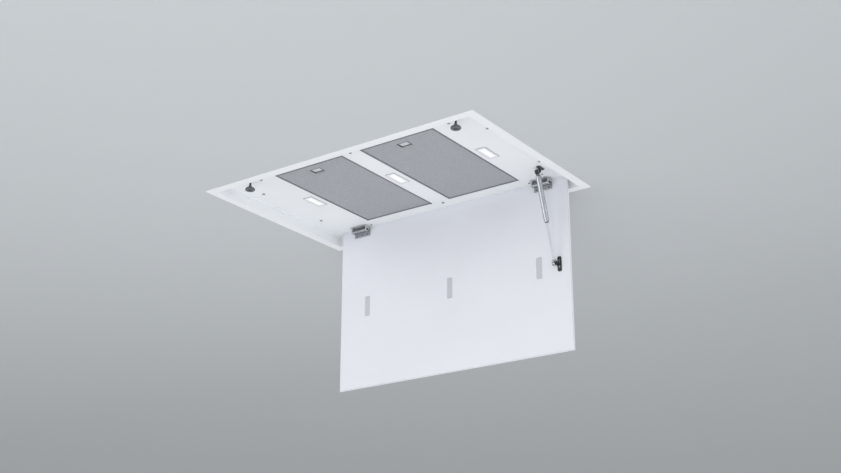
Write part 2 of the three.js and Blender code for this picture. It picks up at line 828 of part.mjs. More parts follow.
function hingeLeaf() {
  const half = barrelLength / 2;
  const face = axisAhead - gap;
  const plate = block([-leafWidth / 2, leafWidth / 2], [face - leafSheet, face], [leafTop - leafHeight, leafTop]);
  const web = block([-half, half], [0, face - leafSheet / 2], [-barrelRadius, -barrelRadius + leafSheet]);
  const barrel = cylinder(barrelRadius, [-half, 0, 0], [half, 0, 0]);
  const bore = cylinder(pinRadius + pinRun, [-footWidth, 0, 0], [footWidth, 0, 0]);
  return union([plate, web, barrel]).subtract(bore);
}

// ---- Gas strut, about the upper ball, along -Z ----

const strutTop = new THREE.Vector3(strutX, strutTopY, plateLow - strutTopDrop);
const strutBall = new THREE.Vector3(strutX, axisY + axisAhead - strutBallAhead, axisZ + axisFromEdge - strutBallDrop);
const strutLength = strutTop.distanceTo(strutBall);
const strutLean = Math.atan2(strutBall.y - strutTop.y, strutTop.z - strutBall.z);
const bracketX = socketMouth + gap;

function strutSocketBody() {
  const middle = (socketMouth - socketBack) / 2;
  return union([
    cylinder(socketRadius, [-socketBack, 0, 0], [socketMouth, 0, 0]),
    cylinder(socketNeck, [middle, 0, 0], [middle, 0, -socketReach]),
  ]);
}

function upperSocket() {
  const ball = solid(new THREE.SphereGeometry(ballRadius + gap, 16, 8));
  const mouth = cylinder(ballNeck + 2 * gap, [0, 0, 0], [socketMouth + through, 0, 0], 20);
  return cut(strutSocketBody(), [ball, mouth]);
}

function lowerSocket() {
  return strutSocketBody().rotate([180, 0, 0]);
}

const socketEnd = socketReach + gap;

function strutCylinder() {
  const bore = rodRadius + gap;
  return turnedUp([
    [0, -socketEnd - cylinderHead], [bore, -socketEnd - cylinderHead], [bore, -cylinderEnd],
    [cylinderRadius - cylinderChamfer, -cylinderEnd], [cylinderRadius, -cylinderEnd + cylinderChamfer],
    [cylinderRadius, -socketEnd - cylinderCrown], [cylinderRadius - cylinderCrown, -socketEnd],
    [0, -socketEnd],
  ], 20);
}

function strutRod() {
  return cylinder(rodRadius, [0, 0, -cylinderEnd + rodInside], [0, 0, -strutLength + socketEnd], 20);
}

// A bracket's foot beside the ball, flat against a face above it.
function bracketFootPlate(length, seat) {
  return prism(roundedRectangle(bracketWidth, length, bracketCorner), seat - bracketFoot, seat)
    .translate([bracketX + bracketWidth / 2, 0, 0]);
}

function topBracket() {
  const seat = strutTopDrop - gap;
  const foot = bracketFootPlate(topBracketLength, seat);
  const ear = [bracketX + bracketSet, bracketX + bracketSet + bracketEar];
  return union([
    foot,
    cylinder(socketRadius, [ear[0], 0, 0], [ear[1], 0, 0]),
    block(ear, [-socketRadius, socketRadius], [0, seat - bracketFoot / 2]),
    cylinder(ballNeck, [0, 0, 0], [ear[0] + bracketEar / 2, 0, 0], 16),
    solid(new THREE.SphereGeometry(ballRadius, 16, 8)),
  ]);
}

function lowBracket() {
  const seat = strutBallAhead - gap;
  const foot = bracketFootPlate(lowBracketLength, seat).rotate([90, 0, 0]).mirror([0, 1, 0]);
  const ear = [bracketX + bracketSet, bracketX + bracketSet + bracketEar];
  return union([
    foot,
    cylinder(socketRadius, [ear[0], 0, 0], [ear[1], 0, 0]),
    block(ear, [0, seat - bracketFoot / 2], [-socketRadius, socketRadius]),
    cylinder(ballNeck, [bracketX, 0, 0], [ear[0] + bracketEar / 2, 0, 0], 16),
  ]);
}

// ---- Cover panel, about the hinge axis ----

const panelTop = axisFromEdge;
const panelLow = axisFromEdge - panelDepth;
const panelIn = axisAhead;
const panelOut = axisAhead + panelThickness;
const windowZ = panelTop - panelDepth / 2;

function windowCut(n, width, length, span) {
  return block(
    [n * lampPitch - width / 2, n * lampPitch + width / 2], span, [windowZ - length / 2, windowZ + length / 2],
  );
}

function panelSkin() {
  const half = panelLength / 2;
  const shell = block([-half, half], [panelIn, panelOut], [panelLow, panelTop]);
  const inside = block(
    [-half + panelSheet, half - panelSheet], [panelIn - through, panelOut - panelSheet],
    [panelLow + panelSheet, panelTop - panelSheet],
  );
  const windows = [-1, 0, 1].map((n) => windowCut(n, windowWidth, windowLength, [panelIn, panelOut + through]));
  return cut(shell, [inside, ...windows]);
}

function panelLiner() {
  const inset = panelSheet + gap;
  const half = panelLength / 2 - inset;
  const sheet = block([-half, half], [panelIn, panelIn + linerSheet], [panelLow + inset, panelTop - inset]);
  const windows = [-1, 0, 1].map((n) => windowCut(
    n, windowWidth, windowLength, [panelIn - through, panelIn + linerSheet + through],
  ));
  return cut(sheet, windows);
}

function lightWindow(n) {
  const behind = panelIn + linerSheet + gap;
  const lens = windowCut(n, windowWidth - 2 * gap, windowLength - 2 * gap, [panelIn, panelOut]);
  const rim = windowCut(
    n, windowWidth + 2 * windowFlange, windowLength + 2 * windowFlange, [behind, behind + windowFlangeThickness],
  );
  return lens.add(rim);
}

// ---- Filters, about the middle of each filter's lower face ----

const filterHalf = filterLength / 2;
const gripY = -filterHalf + gripFromEdge;
const boltLow = plateSheet + gap;
const boltHigh = boltLow + boltThickness;

function filterFrame() {
  const outside = slab(filterWidth, filterLength, 0, filterHeight);
  const channel = slab(
    filterWidth - 2 * filterSheet, filterLength - 2 * filterSheet, filterSheet, filterHeight - filterSheet,
  );
  const window = slab(
    filterWidth - 2 * filterEdge, filterLength - 2 * filterEdge, -through, filterHeight + through,
  );
  const slot = block(
    [-boltWidth / 2 - gap, boltWidth / 2 + gap], [-filterHalf - through, -filterHalf + filterSheet + through],
    [boltLow - gap, boltHigh + gap],
  );
  const tabs = [-1, 1].map((side) => {
    const middle = side * tabSpacing / 2;
    return block(
      [middle - tabWidth / 2, middle + tabWidth / 2], [filterHalf - filterSheet / 2, filterHalf + tabReach],
      [boltLow, boltLow + tabSheet],
    );
  });
  return union([cut(outside, [channel, window, slot]), ...tabs]);
}

function filterMesh() {
  const inset = 2 * (filterSheet + gap);
  const low = filterSheet + gap;
  const high = filterHeight - filterSheet - gap;
  const pad = slab(filterWidth - inset, filterLength - inset, low, high);
  const core = slab(
    filterWidth - inset - 2 * padSheet, filterLength - inset - 2 * padSheet, low + padSheet, high - padSheet,
  );
  const pocket = block(
    [-gripLength / 2 - gap, gripLength / 2 + gap],
    [gripY - gripWidth / 2 - gap, gripY + gripWidth / 2 + latchTravel + gap],
    [low - through, high + through],
  );
  const channel = block(
    [-boltWidth / 2 - gap, boltWidth / 2 + gap], [-filterHalf, gripY], [boltLow - gap, high + through],
  );
  return cut(pad, [core, pocket, channel]);
}

function filterLatch() {
  const low = gap;
  const grip = slab(gripLength, gripWidth, low, low + gripHeight, 0, gripY);
  const hollow = slab(
    gripLength - 2 * gripWall, gripWidth - 2 * gripWall, low - through, low + gripHeight - gripWall, 0, gripY,
  );
  const bolt = block(
    [-boltWidth / 2, boltWidth / 2], [-filterHalf - boltReach, gripY - gripWidth / 2 + gripWall / 2],
    [boltLow, boltHigh],
  );
  return union([grip.subtract(hollow), bolt]);
}

// ---- Assembly ----

const hood = new THREE.Group();

function place(parent, item, x = 0, y = 0, z = 0) {
  item.position.set(x, y, z);
  parent.add(item);
  return item;
}

hood.add(piece('trim_frame', trimFrame(), white));
hood.add(piece('face_plate', facePlate(), white));
hood.add(piece('housing', housing(), zinc));

const blower = place(hood, new THREE.Group(), fanX, fanY);
blower.add(piece('blower_scroll', blowerScroll(), zinc));
blower.add(piece('inlet_ring', inletRing(), darkPlastic));
blower.add(piece('impeller', impeller(), darkPlastic));
blower.add(piece('rotor_cup', rotorCup(), zinc));
blower.add(piece('motor_base', motorBase(), zinc));

hood.add(piece('outlet_duct', outletDuct(), zinc));
hood.add(piece('outlet_collar', outletCollar(), zinc));
place(hood, piece('damper_left', damperFlap(-1), palePlastic), 0, damperY, collarAxisZ);
place(hood, piece('damper_right', damperFlap(1), palePlastic), 0, damperY, collarAxisZ);

for (const [x, y, name] of [[-1, -1, 'a'], [1, -1, 'b'], [-1, 1, 'c'], [1, 1, 'd']]) {
  const bracket = place(
    hood, piece(`hanger_${name}`, hanger(), zinc),
    x * (housingLength / 2 + gap), y * hangerY, housingTop - hangerTopDown,
  );
  bracket.rotation.z = x > 0 ? 0 : Math.PI;
}

const terminals = place(hood, new THREE.Group(), boxX, boxY);
terminals.add(piece('terminal_box', terminalBox(), darkPlastic));
terminals.add(piece('terminal_cover', terminalCover(), darkPlastic));
const gland = place(
  terminals, piece('cable_gland', cableGland(), darkPlastic), -boxLength / 2, 0, boxLow + boxHeight / 2,
);
gland.rotation.z = Math.PI / 2;

['left', 'middle', 'right'].forEach((name, i) => {
  const x = (i - 1) * lampPitch;
  place(hood, piece(`lamp_body_${name}`, lampBody(), zinc), x, 0, plateLow);
  place(hood, piece(`lamp_lens_${name}`, lampLens(), glow), x, 0, plateLow);
});

const panel = place(hood, new THREE.Group(), 0, axisY, axisZ);
panel.add(piece('panel_skin', panelSkin(), white));
panel.add(piece('panel_liner', panelLiner(), white));
['left', 'middle', 'right'].forEach((name, i) => {
  panel.add(piece(`light_window_${name}`, lightWindow(i - 1), frosted));
});

for (const [side, name] of [[-1, 'left'], [1, 'right']]) {
  place(hood, piece(`catch_stud_${name}`, catchStud(), black), side * catchX, catchY, plateLow);
  place(hood, piece(`catch_magnet_${name}`, catchMagnet(), black), side * catchX, catchY, plateLow);
  place(hood, piece(`hinge_base_${name}`, hingeBase(), hingeSteel), side * hingeX, axisY, axisZ);
  place(hood, piece(`hinge_pin_${name}`, hingePin(), hingeSteel), side * hingeX, axisY, axisZ);
  place(panel, piece(`hinge_leaf_${name}`, hingeLeaf(), hingeSteel), side * hingeX);
  const filter = place(hood, new THREE.Group(), side * filterPitch / 2, 0, plateLow);
  filter.add(piece(`filter_frame_${name}`, filterFrame(), filterMetal));
  filter.add(piece(`filter_mesh_${name}`, filterMesh(), filterMetal));
  filter.add(piece(`filter_latch_${name}`, filterLatch(), zinc));
}

const strut = place(hood, new THREE.Group(), strutTop.x, strutTop.y, strutTop.z);
strut.rotation.x = strutLean;
strut.add(piece('strut_upper_socket', upperSocket(), black));
strut.add(piece('strut_cylinder', strutCylinder(), chrome));
strut.add(piece('strut_rod', strutRod(), chrome));
place(strut, piece('strut_lower_socket', lowerSocket(), black), 0, 0, -strutLength);
place(hood, piece('strut_top_bracket', topBracket(), black), strutTop.x, strutTop.y, strutTop.z);
place(hood, piece('strut_low_bracket', lowBracket(), black), strutBall.x, strutBall.y, strutBall.z);

screwPlaces.forEach(([x, y], i) => {
  place(hood, piece(`plate_screw_${i + 1}`, plateScrew(), zinc), x, y, plateLow);
});

export default hood;
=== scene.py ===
# A range hood built into a ceiling, seen from below with its cover panel hanging open.
# The frame's solids keep their shapes. This script softens their edges, gives them their finishes and adds
# the small pieces: wire cloth on the filters, screws, rivets, nuts and clips. Metres, +Z up, as in the frame.
import math

import bmesh
import bpy
from mathutils import Matrix, Vector


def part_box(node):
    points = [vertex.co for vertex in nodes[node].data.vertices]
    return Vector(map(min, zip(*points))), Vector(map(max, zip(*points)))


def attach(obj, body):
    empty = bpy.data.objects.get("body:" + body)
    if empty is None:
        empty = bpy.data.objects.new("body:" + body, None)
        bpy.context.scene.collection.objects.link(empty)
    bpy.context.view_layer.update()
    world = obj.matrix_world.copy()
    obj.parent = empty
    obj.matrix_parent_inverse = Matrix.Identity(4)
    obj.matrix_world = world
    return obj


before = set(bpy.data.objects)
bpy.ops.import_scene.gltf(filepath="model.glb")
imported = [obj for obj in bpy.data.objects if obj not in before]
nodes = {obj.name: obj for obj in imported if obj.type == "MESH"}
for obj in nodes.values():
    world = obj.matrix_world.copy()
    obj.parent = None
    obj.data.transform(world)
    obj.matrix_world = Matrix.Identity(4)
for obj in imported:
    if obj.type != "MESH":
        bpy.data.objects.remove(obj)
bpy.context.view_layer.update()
MM = 0.001


def start_of(piece, axis):
    """Where a piece of the frame starts along an axis, to a tenth of a millimetre."""
    return round(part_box(piece)[0]["xyz".index(axis)] / MM, 1)


def end_of(piece, axis):
    return round(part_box(piece)[1]["xyz".index(axis)] / MM, 1)


def middle_of(piece, axis):
    return (start_of(piece, axis) + end_of(piece, axis)) / 2


# ---- Sizes and places, in millimetres. What a piece of the frame gives is read from it. ----

# Trim frame and face plate
FLANGE = 25.0               # width of the flange round the recess
RECESS_HALF = (end_of("trim_frame", "x") - FLANGE, end_of("trim_frame", "y") - FLANGE)
PLATE_LOW = start_of("face_plate", "z")
BEAD = 4.0                  # radius of the bead in the recess's corners

# Filters and their latches. The wire cloth has two layers, each of straight wires.
FILTER_X = middle_of("filter_frame_right", "x")
FILTER_HALF = (end_of("filter_frame_right", "x") - FILTER_X, -start_of("filter_frame_right", "y"))
FILTER_EDGE = 6.0           # channel's width round the window
PAD_LOW = start_of("filter_mesh_right", "z")
WIRE = 0.25                 # radius
WIRE_PITCH = 2.5
WIRE_FROM_EDGE = 0.3        # a wire's end from the channel
UPPER_WIRE = PAD_LOW - WIRE             # middle of the layer against the pad
LOWER_WIRE = UPPER_WIRE - 1.8 * WIRE    # middle of the layer nearer the room, pressed on the other
LATCH_GRIP = (2 * (end_of("filter_latch_right", "x") - FILTER_X), 24.0)     # outer length and width
LATCH_SHEET = 1.5
LATCH_Y = end_of("filter_latch_right", "y") - LATCH_GRIP[1] / 2
LATCH_FLOOR = end_of("filter_latch_right", "z") - LATCH_SHEET
LATCH_TRAVEL = 7.0
LATCH_ROOM = 0.5            # cloth to the latch's grip
SHUTTER_LOW = PAD_LOW + 1.1     # in the pad's hollow core
SHUTTER_SHEET = 0.8

# Lamps
LAMP_PITCH = middle_of("lamp_body_right", "x")
BEZEL_HALF = (end_of("lamp_body_middle", "x"), end_of("lamp_body_middle", "y"))
BEZEL_LOW = start_of("lamp_body_middle", "z")

# Hinges and cover panel, which hangs open
HINGE_SHEET = 2.5
HINGE_X = middle_of("hinge_base_right", "x")
HINGE_AXIS = (middle_of("hinge_pin_right", "y"), middle_of("hinge_pin_right", "z"))
PIN_HALF = end_of("hinge_pin_right", "x") - HINGE_X
FOOT_LOW = end_of("hinge_base_right", "z") - HINGE_SHEET
LEAF_FACE = end_of("hinge_leaf_right", "y") - HINGE_SHEET
PANEL_HALF = end_of("panel_skin", "x")
PANEL_FACE = start_of("panel_skin", "y")
PANEL_BACK = end_of("panel_skin", "y")
PANEL_TOP = end_of("panel_skin", "z")

# Gas strut
STRUT_X = middle_of("strut_cylinder", "x")
TOP_BALL_DROP = 10.0        # upper ball below the face plate
LOW_BALL_AHEAD = 12.0       # lower ball in front of the panel
UPPER_BALL = Vector((STRUT_X, middle_of("strut_top_bracket", "y"), PLATE_LOW - TOP_BALL_DROP))
LOWER_BALL = Vector((STRUT_X, PANEL_FACE - LOW_BALL_AHEAD, middle_of("strut_low_bracket", "z")))
BRACKET_FOOT = 2.2          # sheet of the brackets' feet

# Housing, blower and what hangs on the housing
STIFFENER = 3.0             # height of the pressed beads on the housing's top
HOUSING_HALF = (end_of("housing", "x"), end_of("housing", "y"))
HOUSING_LOW = start_of("housing", "z")
HOUSING_TOP = end_of("housing", "z") - STIFFENER
FAN_X = middle_of("impeller", "x")
FAN_SHEET = 2.0             # impeller's back plate
FAN_PLATE_LOW = end_of("impeller", "z") - FAN_SHEET
RING_LOW = start_of("inlet_ring", "z")
COLLAR_Z = middle_of("outlet_collar", "z")
COLLAR_GAP = 0.3            # collar's flange to the housing
COLLAR_SHEET = 1.5
COLLAR_FACE = HOUSING_HALF[1] + COLLAR_GAP + COLLAR_SHEET
HANGER_SHEET = 2.0
HANGER_Y = middle_of("hanger_d", "y")
HANGER_FACE = start_of("hanger_d", "x") + HANGER_SHEET
HANGER_TOP = end_of("hanger_d", "z")
BOX = (middle_of("terminal_box", "x"), middle_of("terminal_box", "y"))
BOX_END = start_of("terminal_box", "x")
COVER_TOP = end_of("terminal_cover", "z")
GLAND_Z = middle_of("cable_gland", "z")

# Heads of fasteners: radius, height and, where it isn't a usual screw's, the socket's share of the radius
FILTER_RIVET = (1.9, 0.8, 0)
HOUSING_RIVET = (2.4, 1.1, 0)
COLLAR_RIVET = (2.2, 1.1, 0)
HANGER_RIVET = (3.0, 1.4, 0)
PIN_CAP = (3.5, 1.3, 0)
FOOT_SCREW = (3.0, 1.5)
LEAF_SCREW = (2.8, 1.3)
BRACKET_SCREW = (2.8, 1.5)
SMALL_SCREW = (2.6, 1.4)
WALL_SCREW = (3.2, 1.2)
COVER_SCREW = (3.6, 1.9)
RING_SCREW = (3.0, 1.6)
HUB_SCREW = (3.0, 1.8)

SHARP = math.radians(38)            # edges past this angle are shaded sharp
BEVEL_ABOVE = math.radians(50)      # edges past this angle are rounded
CORNER = 1.0                        # in radians: edges past this angle are the corners of a flat ring
LEVEL = 0.001                       # points this near a plane lie in it


# ---- Camera: standing in the room and looking up at the open hood ----

def stand_camera():
    data = bpy.data.cameras.new("camera")
    data.lens = 57.277
    data.sensor_width = 36
    data.clip_end = 60
    camera = bpy.data.objects.new("camera", data)
    camera.location = (2.0660, -2.7829, -1.4385)
    camera.rotation_euler = (math.radians(90 + 20.51), 0, math.radians(35.52))
    bpy.context.scene.collection.objects.link(camera)
    bpy.context.scene.camera = camera


stand_camera()


# ---- Finishes ----

def paint(red, green, blue):
    """A colour as a painter reads it, 0 to 255, in Blender's linear values."""
    def linear(value):
        value /= 255
        return value / 12.92 if value <= 0.04045 else ((value + 0.055) / 1.055) ** 2.4
    return (linear(red), linear(green), linear(blue), 1.0)


class Finish:
    """A node-based material and the nodes that the finishes here are made of."""

    def __init__(self, name):
        self.material = bpy.data.materials.new(name)
        self.material.use_nodes = True
        self.tree = self.material.node_tree
        self.shader = self.tree.nodes["Principled BSDF"]
        self.place = self.add("ShaderNodeTexCoord").outputs["Object"]

    def add(self, kind, inputs=None, **settings):
        node = self.tree.nodes.new(kind)
        for name, value in settings.items():
            setattr(node, name, value)
        for name, value in (inputs or {}).items():
            self.put(node.inputs[name], value)
        return node

    def put(self, socket, value):
        if isinstance(value, bpy.types.NodeSocket):
            self.tree.links.new(value, socket)
        else:
            socket.default_value = value

    def stretched(self, scale):
        return self.add("ShaderNodeMapping", {"Vector": self.place, "Scale": scale}).outputs["Vector"]

    def noise(self, scale, detail=3.0, place=None):
        return self.add(
            "ShaderNodeTexNoise", {"Vector": place or self.place, "Scale": scale, "Detail": detail},
        ).outputs["Fac"]

    def cells(self, scale, output="Color"):
        return self.add(
            "ShaderNodeTexVoronoi", {"Vector": self.place, "Scale": scale},
        ).outputs[output]

    def ranged(self, value, low, high, start=0.3, end=0.7):
        return self.add("ShaderNodeMapRange", {
            "Value": value, "From Min": start, "From Max": end, "To Min": low, "To Max": high,
        }).outputs["Result"]

    def mixed(self, share, first, second):
        node = self.add("ShaderNodeMix", data_type="RGBA")
        self.put(node.inputs["Factor"], share)
        first_socket, second_socket = [s for s in node.inputs if s.type == "RGBA"]
        self.put(first_socket, first)
        self.put(second_socket, second)
        return next(s for s in node.outputs if s.type == "RGBA")

    def bump(self, height, depth, strength=1.0):
        self.put(self.shader.inputs["Normal"], self.add("ShaderNodeBump", {
            "Height": height, "Distance": depth, "Strength": strength,
        }).outputs["Normal"])

    def set(self, **values):
        for name, value in values.items():
            self.put(self.shader.inputs[name.replace("_", " ")], value)


def powder_coat(name, light, dark, roughness=0.45):
    """Baked paint: a faint cloud in the colour and the fine orange peel of the coat."""
    made = Finish(name)
    made.set(
        Base_Color=made.mixed(made.ranged(made.noise(5, 4), 0, 1), dark, light),
        Roughness=made.ranged(made.noise(45), roughness - 0.05, roughness + 0.06),
        Specular_IOR_Level=0.35,
    )
    made.bump(made.noise(850, 2), 0.00006, 0.5)
    return made.material


def zinc_sheet(name, light, dark, roughness=0.42, flake=70):
    """Galvanised sheet: flakes of zinc that each take the light a little differently."""
    made = Finish(name)
    flakes = made.cells(flake)
    value = made.add("ShaderNodeSeparateColor", {"Color": flakes}).outputs["Red"]
    made.set(
        Base_Color=made.mixed(value, dark, light),
        Roughness=made.ranged(value, roughness - 0.09, roughness + 0.1, 0, 1),
        Metallic=0.75,
    )
    made.bump(made.noise(220, 4), 0.00008, 0.5)
    return made.material


def drawn_metal(name, light, dark, roughness, along, metallic=0.9, depth=0.00002):
    """Rolled or drawn metal. Its fine lines run along the axis whose scale in along is the smallest."""
    made = Finish(name)
    lines = made.noise(60, 4, made.stretched(along))
    made.set(
        Base_Color=made.mixed(made.ranged(lines, 0, 1), dark, light),
        Roughness=made.ranged(made.noise(30), roughness - 0.05, roughness + 0.07),
        Metallic=metallic,
    )
    made.bump(lines, depth, 0.6)
    return made.material


def hinge_leaf_steel(name):
    """The leaf's brushed plate and its barrel, which is darker and polished by the pin's turning."""
    barrel_end, plate_start = ((LEAF_FACE - depth) * MM for depth in (4.5, 3.5))
    made = Finish(name)
    depth = made.add("ShaderNodeSeparateXYZ", {"Vector": made.place}).outputs["Y"]
    plate = made.ranged(depth, 0, 1, barrel_end, plate_start)
    lines = made.noise(60, 4, made.stretched((0.4, 6, 6)))
    barrel_colour = made.mixed(lines, paint(150, 153, 158), paint(170, 173, 178))
    plate_colour = made.mixed(lines, paint(150, 153, 157), paint(174, 177, 180))
    made.set(
        Base_Color=made.mixed(plate, barrel_colour, plate_colour),
        Roughness=made.ranged(plate, 0.2, 0.42, 0, 1),
        Metallic=made.ranged(plate, 0.9, 0.55, 0, 1),
    )
    made.bump(lines, 0.00002, 0.6)
    return made.material


def moulded(name, light, dark, roughness=0.5):
    """Moulded plastic: a fine spark-eroded grain and small changes of colour and gloss."""
    made = Finish(name)
    made.set(
        Base_Color=made.mixed(made.ranged(made.noise(22, 3), 0, 1), dark, light),
        Roughness=made.ranged(made.noise(60), roughness - 0.06, roughness + 0.08),
        Specular_IOR_Level=0.4,
    )
    made.bump(made.noise(1400, 2), 0.00005, 0.5)
    return made.material


def frosted_window(name):
    """Opal plastic with a faint cloud, which lets a little light through."""
    made = Finish(name)
    cloud = made.ranged(made.noise(160, 3), 0, 1)
    made.set(
        Base_Color=made.mixed(cloud, paint(199, 202, 206), paint(206, 209, 213)),
        Roughness=made.ranged(made.noise(300), 0.5, 0.65),
        Transmission_Weight=0.12,
        Specular_IOR_Level=0.4,
    )
    made.bump(made.noise(1600, 2), 0.00004, 0.5)
    return made.material


def lit_lens(name):
    """A glowing diffuser: fine prisms over even light."""
    made = Finish(name)
    prisms = made.cells(900, "Distance")
    light = made.mixed(made.ranged(made.noise(90, 2), 0, 1), paint(250, 251, 255), paint(255, 255, 255))
    made.set(
        Base_Color=paint(60, 60, 62),
        Roughness=made.ranged(prisms, 0.25, 0.4, 0, 1),
        Emission_Color=light,
        Emission_Strength=0.9,
    )
    made.bump(prisms, 0.0001, 0.4)
    return made.material


def filter_core(name):
    """The loose aluminium knit behind the wire cloth: crimped strands, and darker tone between them that is
    painted shade in the gaps.
    """
    made = Finish(name)
    knit = made.noise(420, 5, made.stretched((1, 1, 0.4)))
    strands = made.ranged(knit, 0, 1, 0.35, 0.65)
    # The darker colour is painted shade where the gaps in the knit lie.
    made.set(
        Base_Color=made.mixed(strands, paint(162, 165, 170), paint(206, 208, 212)),
        Roughness=made.ranged(knit, 0.4, 0.7),
        Metallic=0.2,
    )
    made.bump(knit, 0.0003, 0.5)
    return made.material


finishes = {
    "frame_white": powder_coat("frame_white", paint(231, 233, 236), paint(227, 230, 233)),
    "plate_white": powder_coat("plate_white", paint(230, 233, 236), paint(226, 229, 232)),
    "panel_white": powder_coat("panel_white", paint(225, 227, 233), paint(222, 224, 230)),
    "housing_zinc": zinc_sheet("housing_zinc", paint(193, 197, 200), paint(178, 183, 187)),
    "blower_zinc": zinc_sheet(
        "blower_zinc", paint(184, 188, 192), paint(168, 173, 177), roughness=0.38, flake=110),
    "filter_rim": drawn_metal(
        "filter_rim", paint(132, 135, 140), paint(116, 119, 125), 0.4, (6, 0.3, 6), metallic=0.7),
    "filter_core": filter_core("filter_core"),
    "wire": drawn_metal("wire", paint(210, 212, 216), paint(190, 192, 197), 0.42, (3, 3, 3), metallic=0.35),
    "latch_metal": drawn_metal(
        "latch_metal", paint(170, 174, 178), paint(150, 154, 159), 0.35, (0.5, 8, 8), metallic=0.7),
    # A darker copy of the latch metal for the rim round the grip: painted shade of the shadow in the gap
    # there.
    "latch_rim_painted_shade": drawn_metal(
        "latch_rim_painted_shade", paint(158, 161, 165), paint(138, 141, 145), 0.36, (4, 4, 4), metallic=0.6),
    "latch_light": drawn_metal(
        "latch_light", paint(222, 225, 228), paint(206, 209, 213), 0.4, (0.5, 8, 8), metallic=0.3),
    "bezel_white": moulded("bezel_white", paint(236, 238, 240), paint(228, 230, 233), 0.4),
    "bezel_edge": drawn_metal(
        "bezel_edge", paint(196, 198, 200), paint(180, 183, 186), 0.4, (4, 4, 4), metallic=0.4),
    "lens_light": lit_lens("lens_light"),
    "window_opal": frosted_window("window_opal"),
    "hinge_leaf_steel": hinge_leaf_steel("hinge_leaf_steel"),
    "hinge_foot_steel": drawn_metal(
        "hinge_foot_steel", paint(204, 207, 210), paint(182, 185, 188), 0.4, (0.4, 6, 6), metallic=0.35),
    "steel_pin": drawn_metal("steel_pin", paint(96, 99, 103), paint(70, 73, 78), 0.25, (0.4, 9, 9)),
    "tube_chrome": drawn_metal(
        "tube_chrome", paint(184, 187, 192), paint(172, 175, 181), 0.24, (9, 9, 0.4),
        metallic=0.88, depth=0.000005),
    "rod_steel": drawn_metal(
        "rod_steel", paint(196, 199, 206), paint(184, 187, 194), 0.34, (9, 9, 0.4), metallic=0.6),
    "bracket_steel": drawn_metal(
        "bracket_steel", paint(128, 131, 136), paint(98, 101, 106), 0.34, (0.6, 6, 6), metallic=0.7),
    "black_steel": powder_coat("black_steel", paint(52, 54, 57), paint(36, 38, 41), 0.42),
    "black_rubber": moulded("black_rubber", paint(60, 63, 66), paint(44, 46, 49), 0.62),
    "nickel": drawn_metal("nickel", paint(142, 145, 149), paint(112, 115, 120), 0.3, (0.4, 6, 6)),
    "nickel_light": drawn_metal(
        "nickel_light", paint(178, 181, 184), paint(150, 153, 157), 0.28, (0.4, 6, 6)),
    "catch_grey": moulded("catch_grey", paint(108, 111, 114), paint(88, 91, 94), 0.4),
    "screw_steel": drawn_metal(
        "screw_steel", paint(150, 154, 157), paint(122, 126, 130), 0.32, (4, 4, 4), metallic=0.8),
    "screw_black": powder_coat("screw_black", paint(62, 64, 67), paint(44, 46, 49), 0.4),
    "rivet": drawn_metal(
        "rivet", paint(176, 180, 184), paint(152, 157, 161), 0.36, (4, 4, 4), metallic=0.8),
    "dark_plastic": moulded("dark_plastic", paint(66, 69, 73), paint(52, 55, 59)),
    "fan_plastic": moulded("fan_plastic", paint(54, 57, 61), paint(42, 45, 49), 0.45),
    "pale_plastic": moulded("pale_plastic", paint(212, 215, 217), paint(202, 205, 208)),
}

# The finish of each kind of piece, by how its name starts
FINISH_OF = {
    "trim_frame": "frame_white", "face_plate": "plate_white", "panel_skin": "panel_white",
    "panel_liner": "panel_white", "housing": "housing_zinc", "blower_scroll": "blower_zinc",
    "inlet_ring": "dark_plastic", "impeller": "fan_plastic", "rotor_cup": "blower_zinc",
    "motor_base": "nickel_light", "outlet_duct": "blower_zinc", "outlet_collar": "blower_zinc",
    "damper": "pale_plastic", "hanger": "housing_zinc", "terminal_box": "dark_plastic",
    "terminal_cover": "dark_plastic", "cable_gland": "dark_plastic", "lamp_body": "bezel_white",
    "lamp_lens": "lens_light", "light_window": "window_opal", "catch_stud": "screw_black",
    "catch_magnet": "catch_grey", "hinge_base": "hinge_foot_steel", "hinge_pin": "steel_pin",
    "hinge_leaf": "hinge_leaf_steel", "filter_frame": "filter_rim", "filter_mesh": "filter_core",
    "filter_latch": "latch_metal", "strut_upper_socket": "black_steel", "strut_cylinder": "tube_chrome",
    "strut_rod": "rod_steel", "strut_lower_socket": "nickel_light", "strut_top_bracket": "bracket_steel",
    "strut_low_bracket": "black_steel", "plate_screw": "screw_steel",
}

for name, node in nodes.items():
    kind = max((k for k in FINISH_OF if name.startswith(k)), key=len)
    node.data.materials.clear()
    node.data.materials.append(finishes[FINISH_OF[kind]])


# ---- Softened edges and round shading on the frame's solids ----

def geometry_group(name):
    """A modifier's node group that takes a mesh in and gives one out."""
    group = bpy.data.node_groups.new(name, "GeometryNodeTree")
    group.interface.new_socket("Geometry", in_out="INPUT", socket_type="NodeSocketGeometry")
    group.interface.new_socket("Geometry", in_out="OUTPUT", socket_type="NodeSocketGeometry")
    return group, group.nodes.new("NodeGroupInput").outputs[0], group.nodes.new("NodeGroupOutput").inputs[0]


def welding_group(name):
    """Joins a solid's loose triangles, and drops the normals that came with them."""
    group, mesh_in, mesh_out = geometry_group(name)
    weld = group.nodes.new("GeometryNodeMergeByDistance")
    weld.inputs["Distance"].default_value = 1e-6
    bare = group.nodes.new("GeometryNodeRemoveAttribute")
    bare.inputs["Name"].default_value = "custom_normal"
    group.links.new(mesh_in, weld.inputs["Geometry"])
    group.links.new(weld.outputs["Geometry"], bare.inputs["Geometry"])
    group.links.new(bare.outputs["Geometry"], mesh_out)
    return group


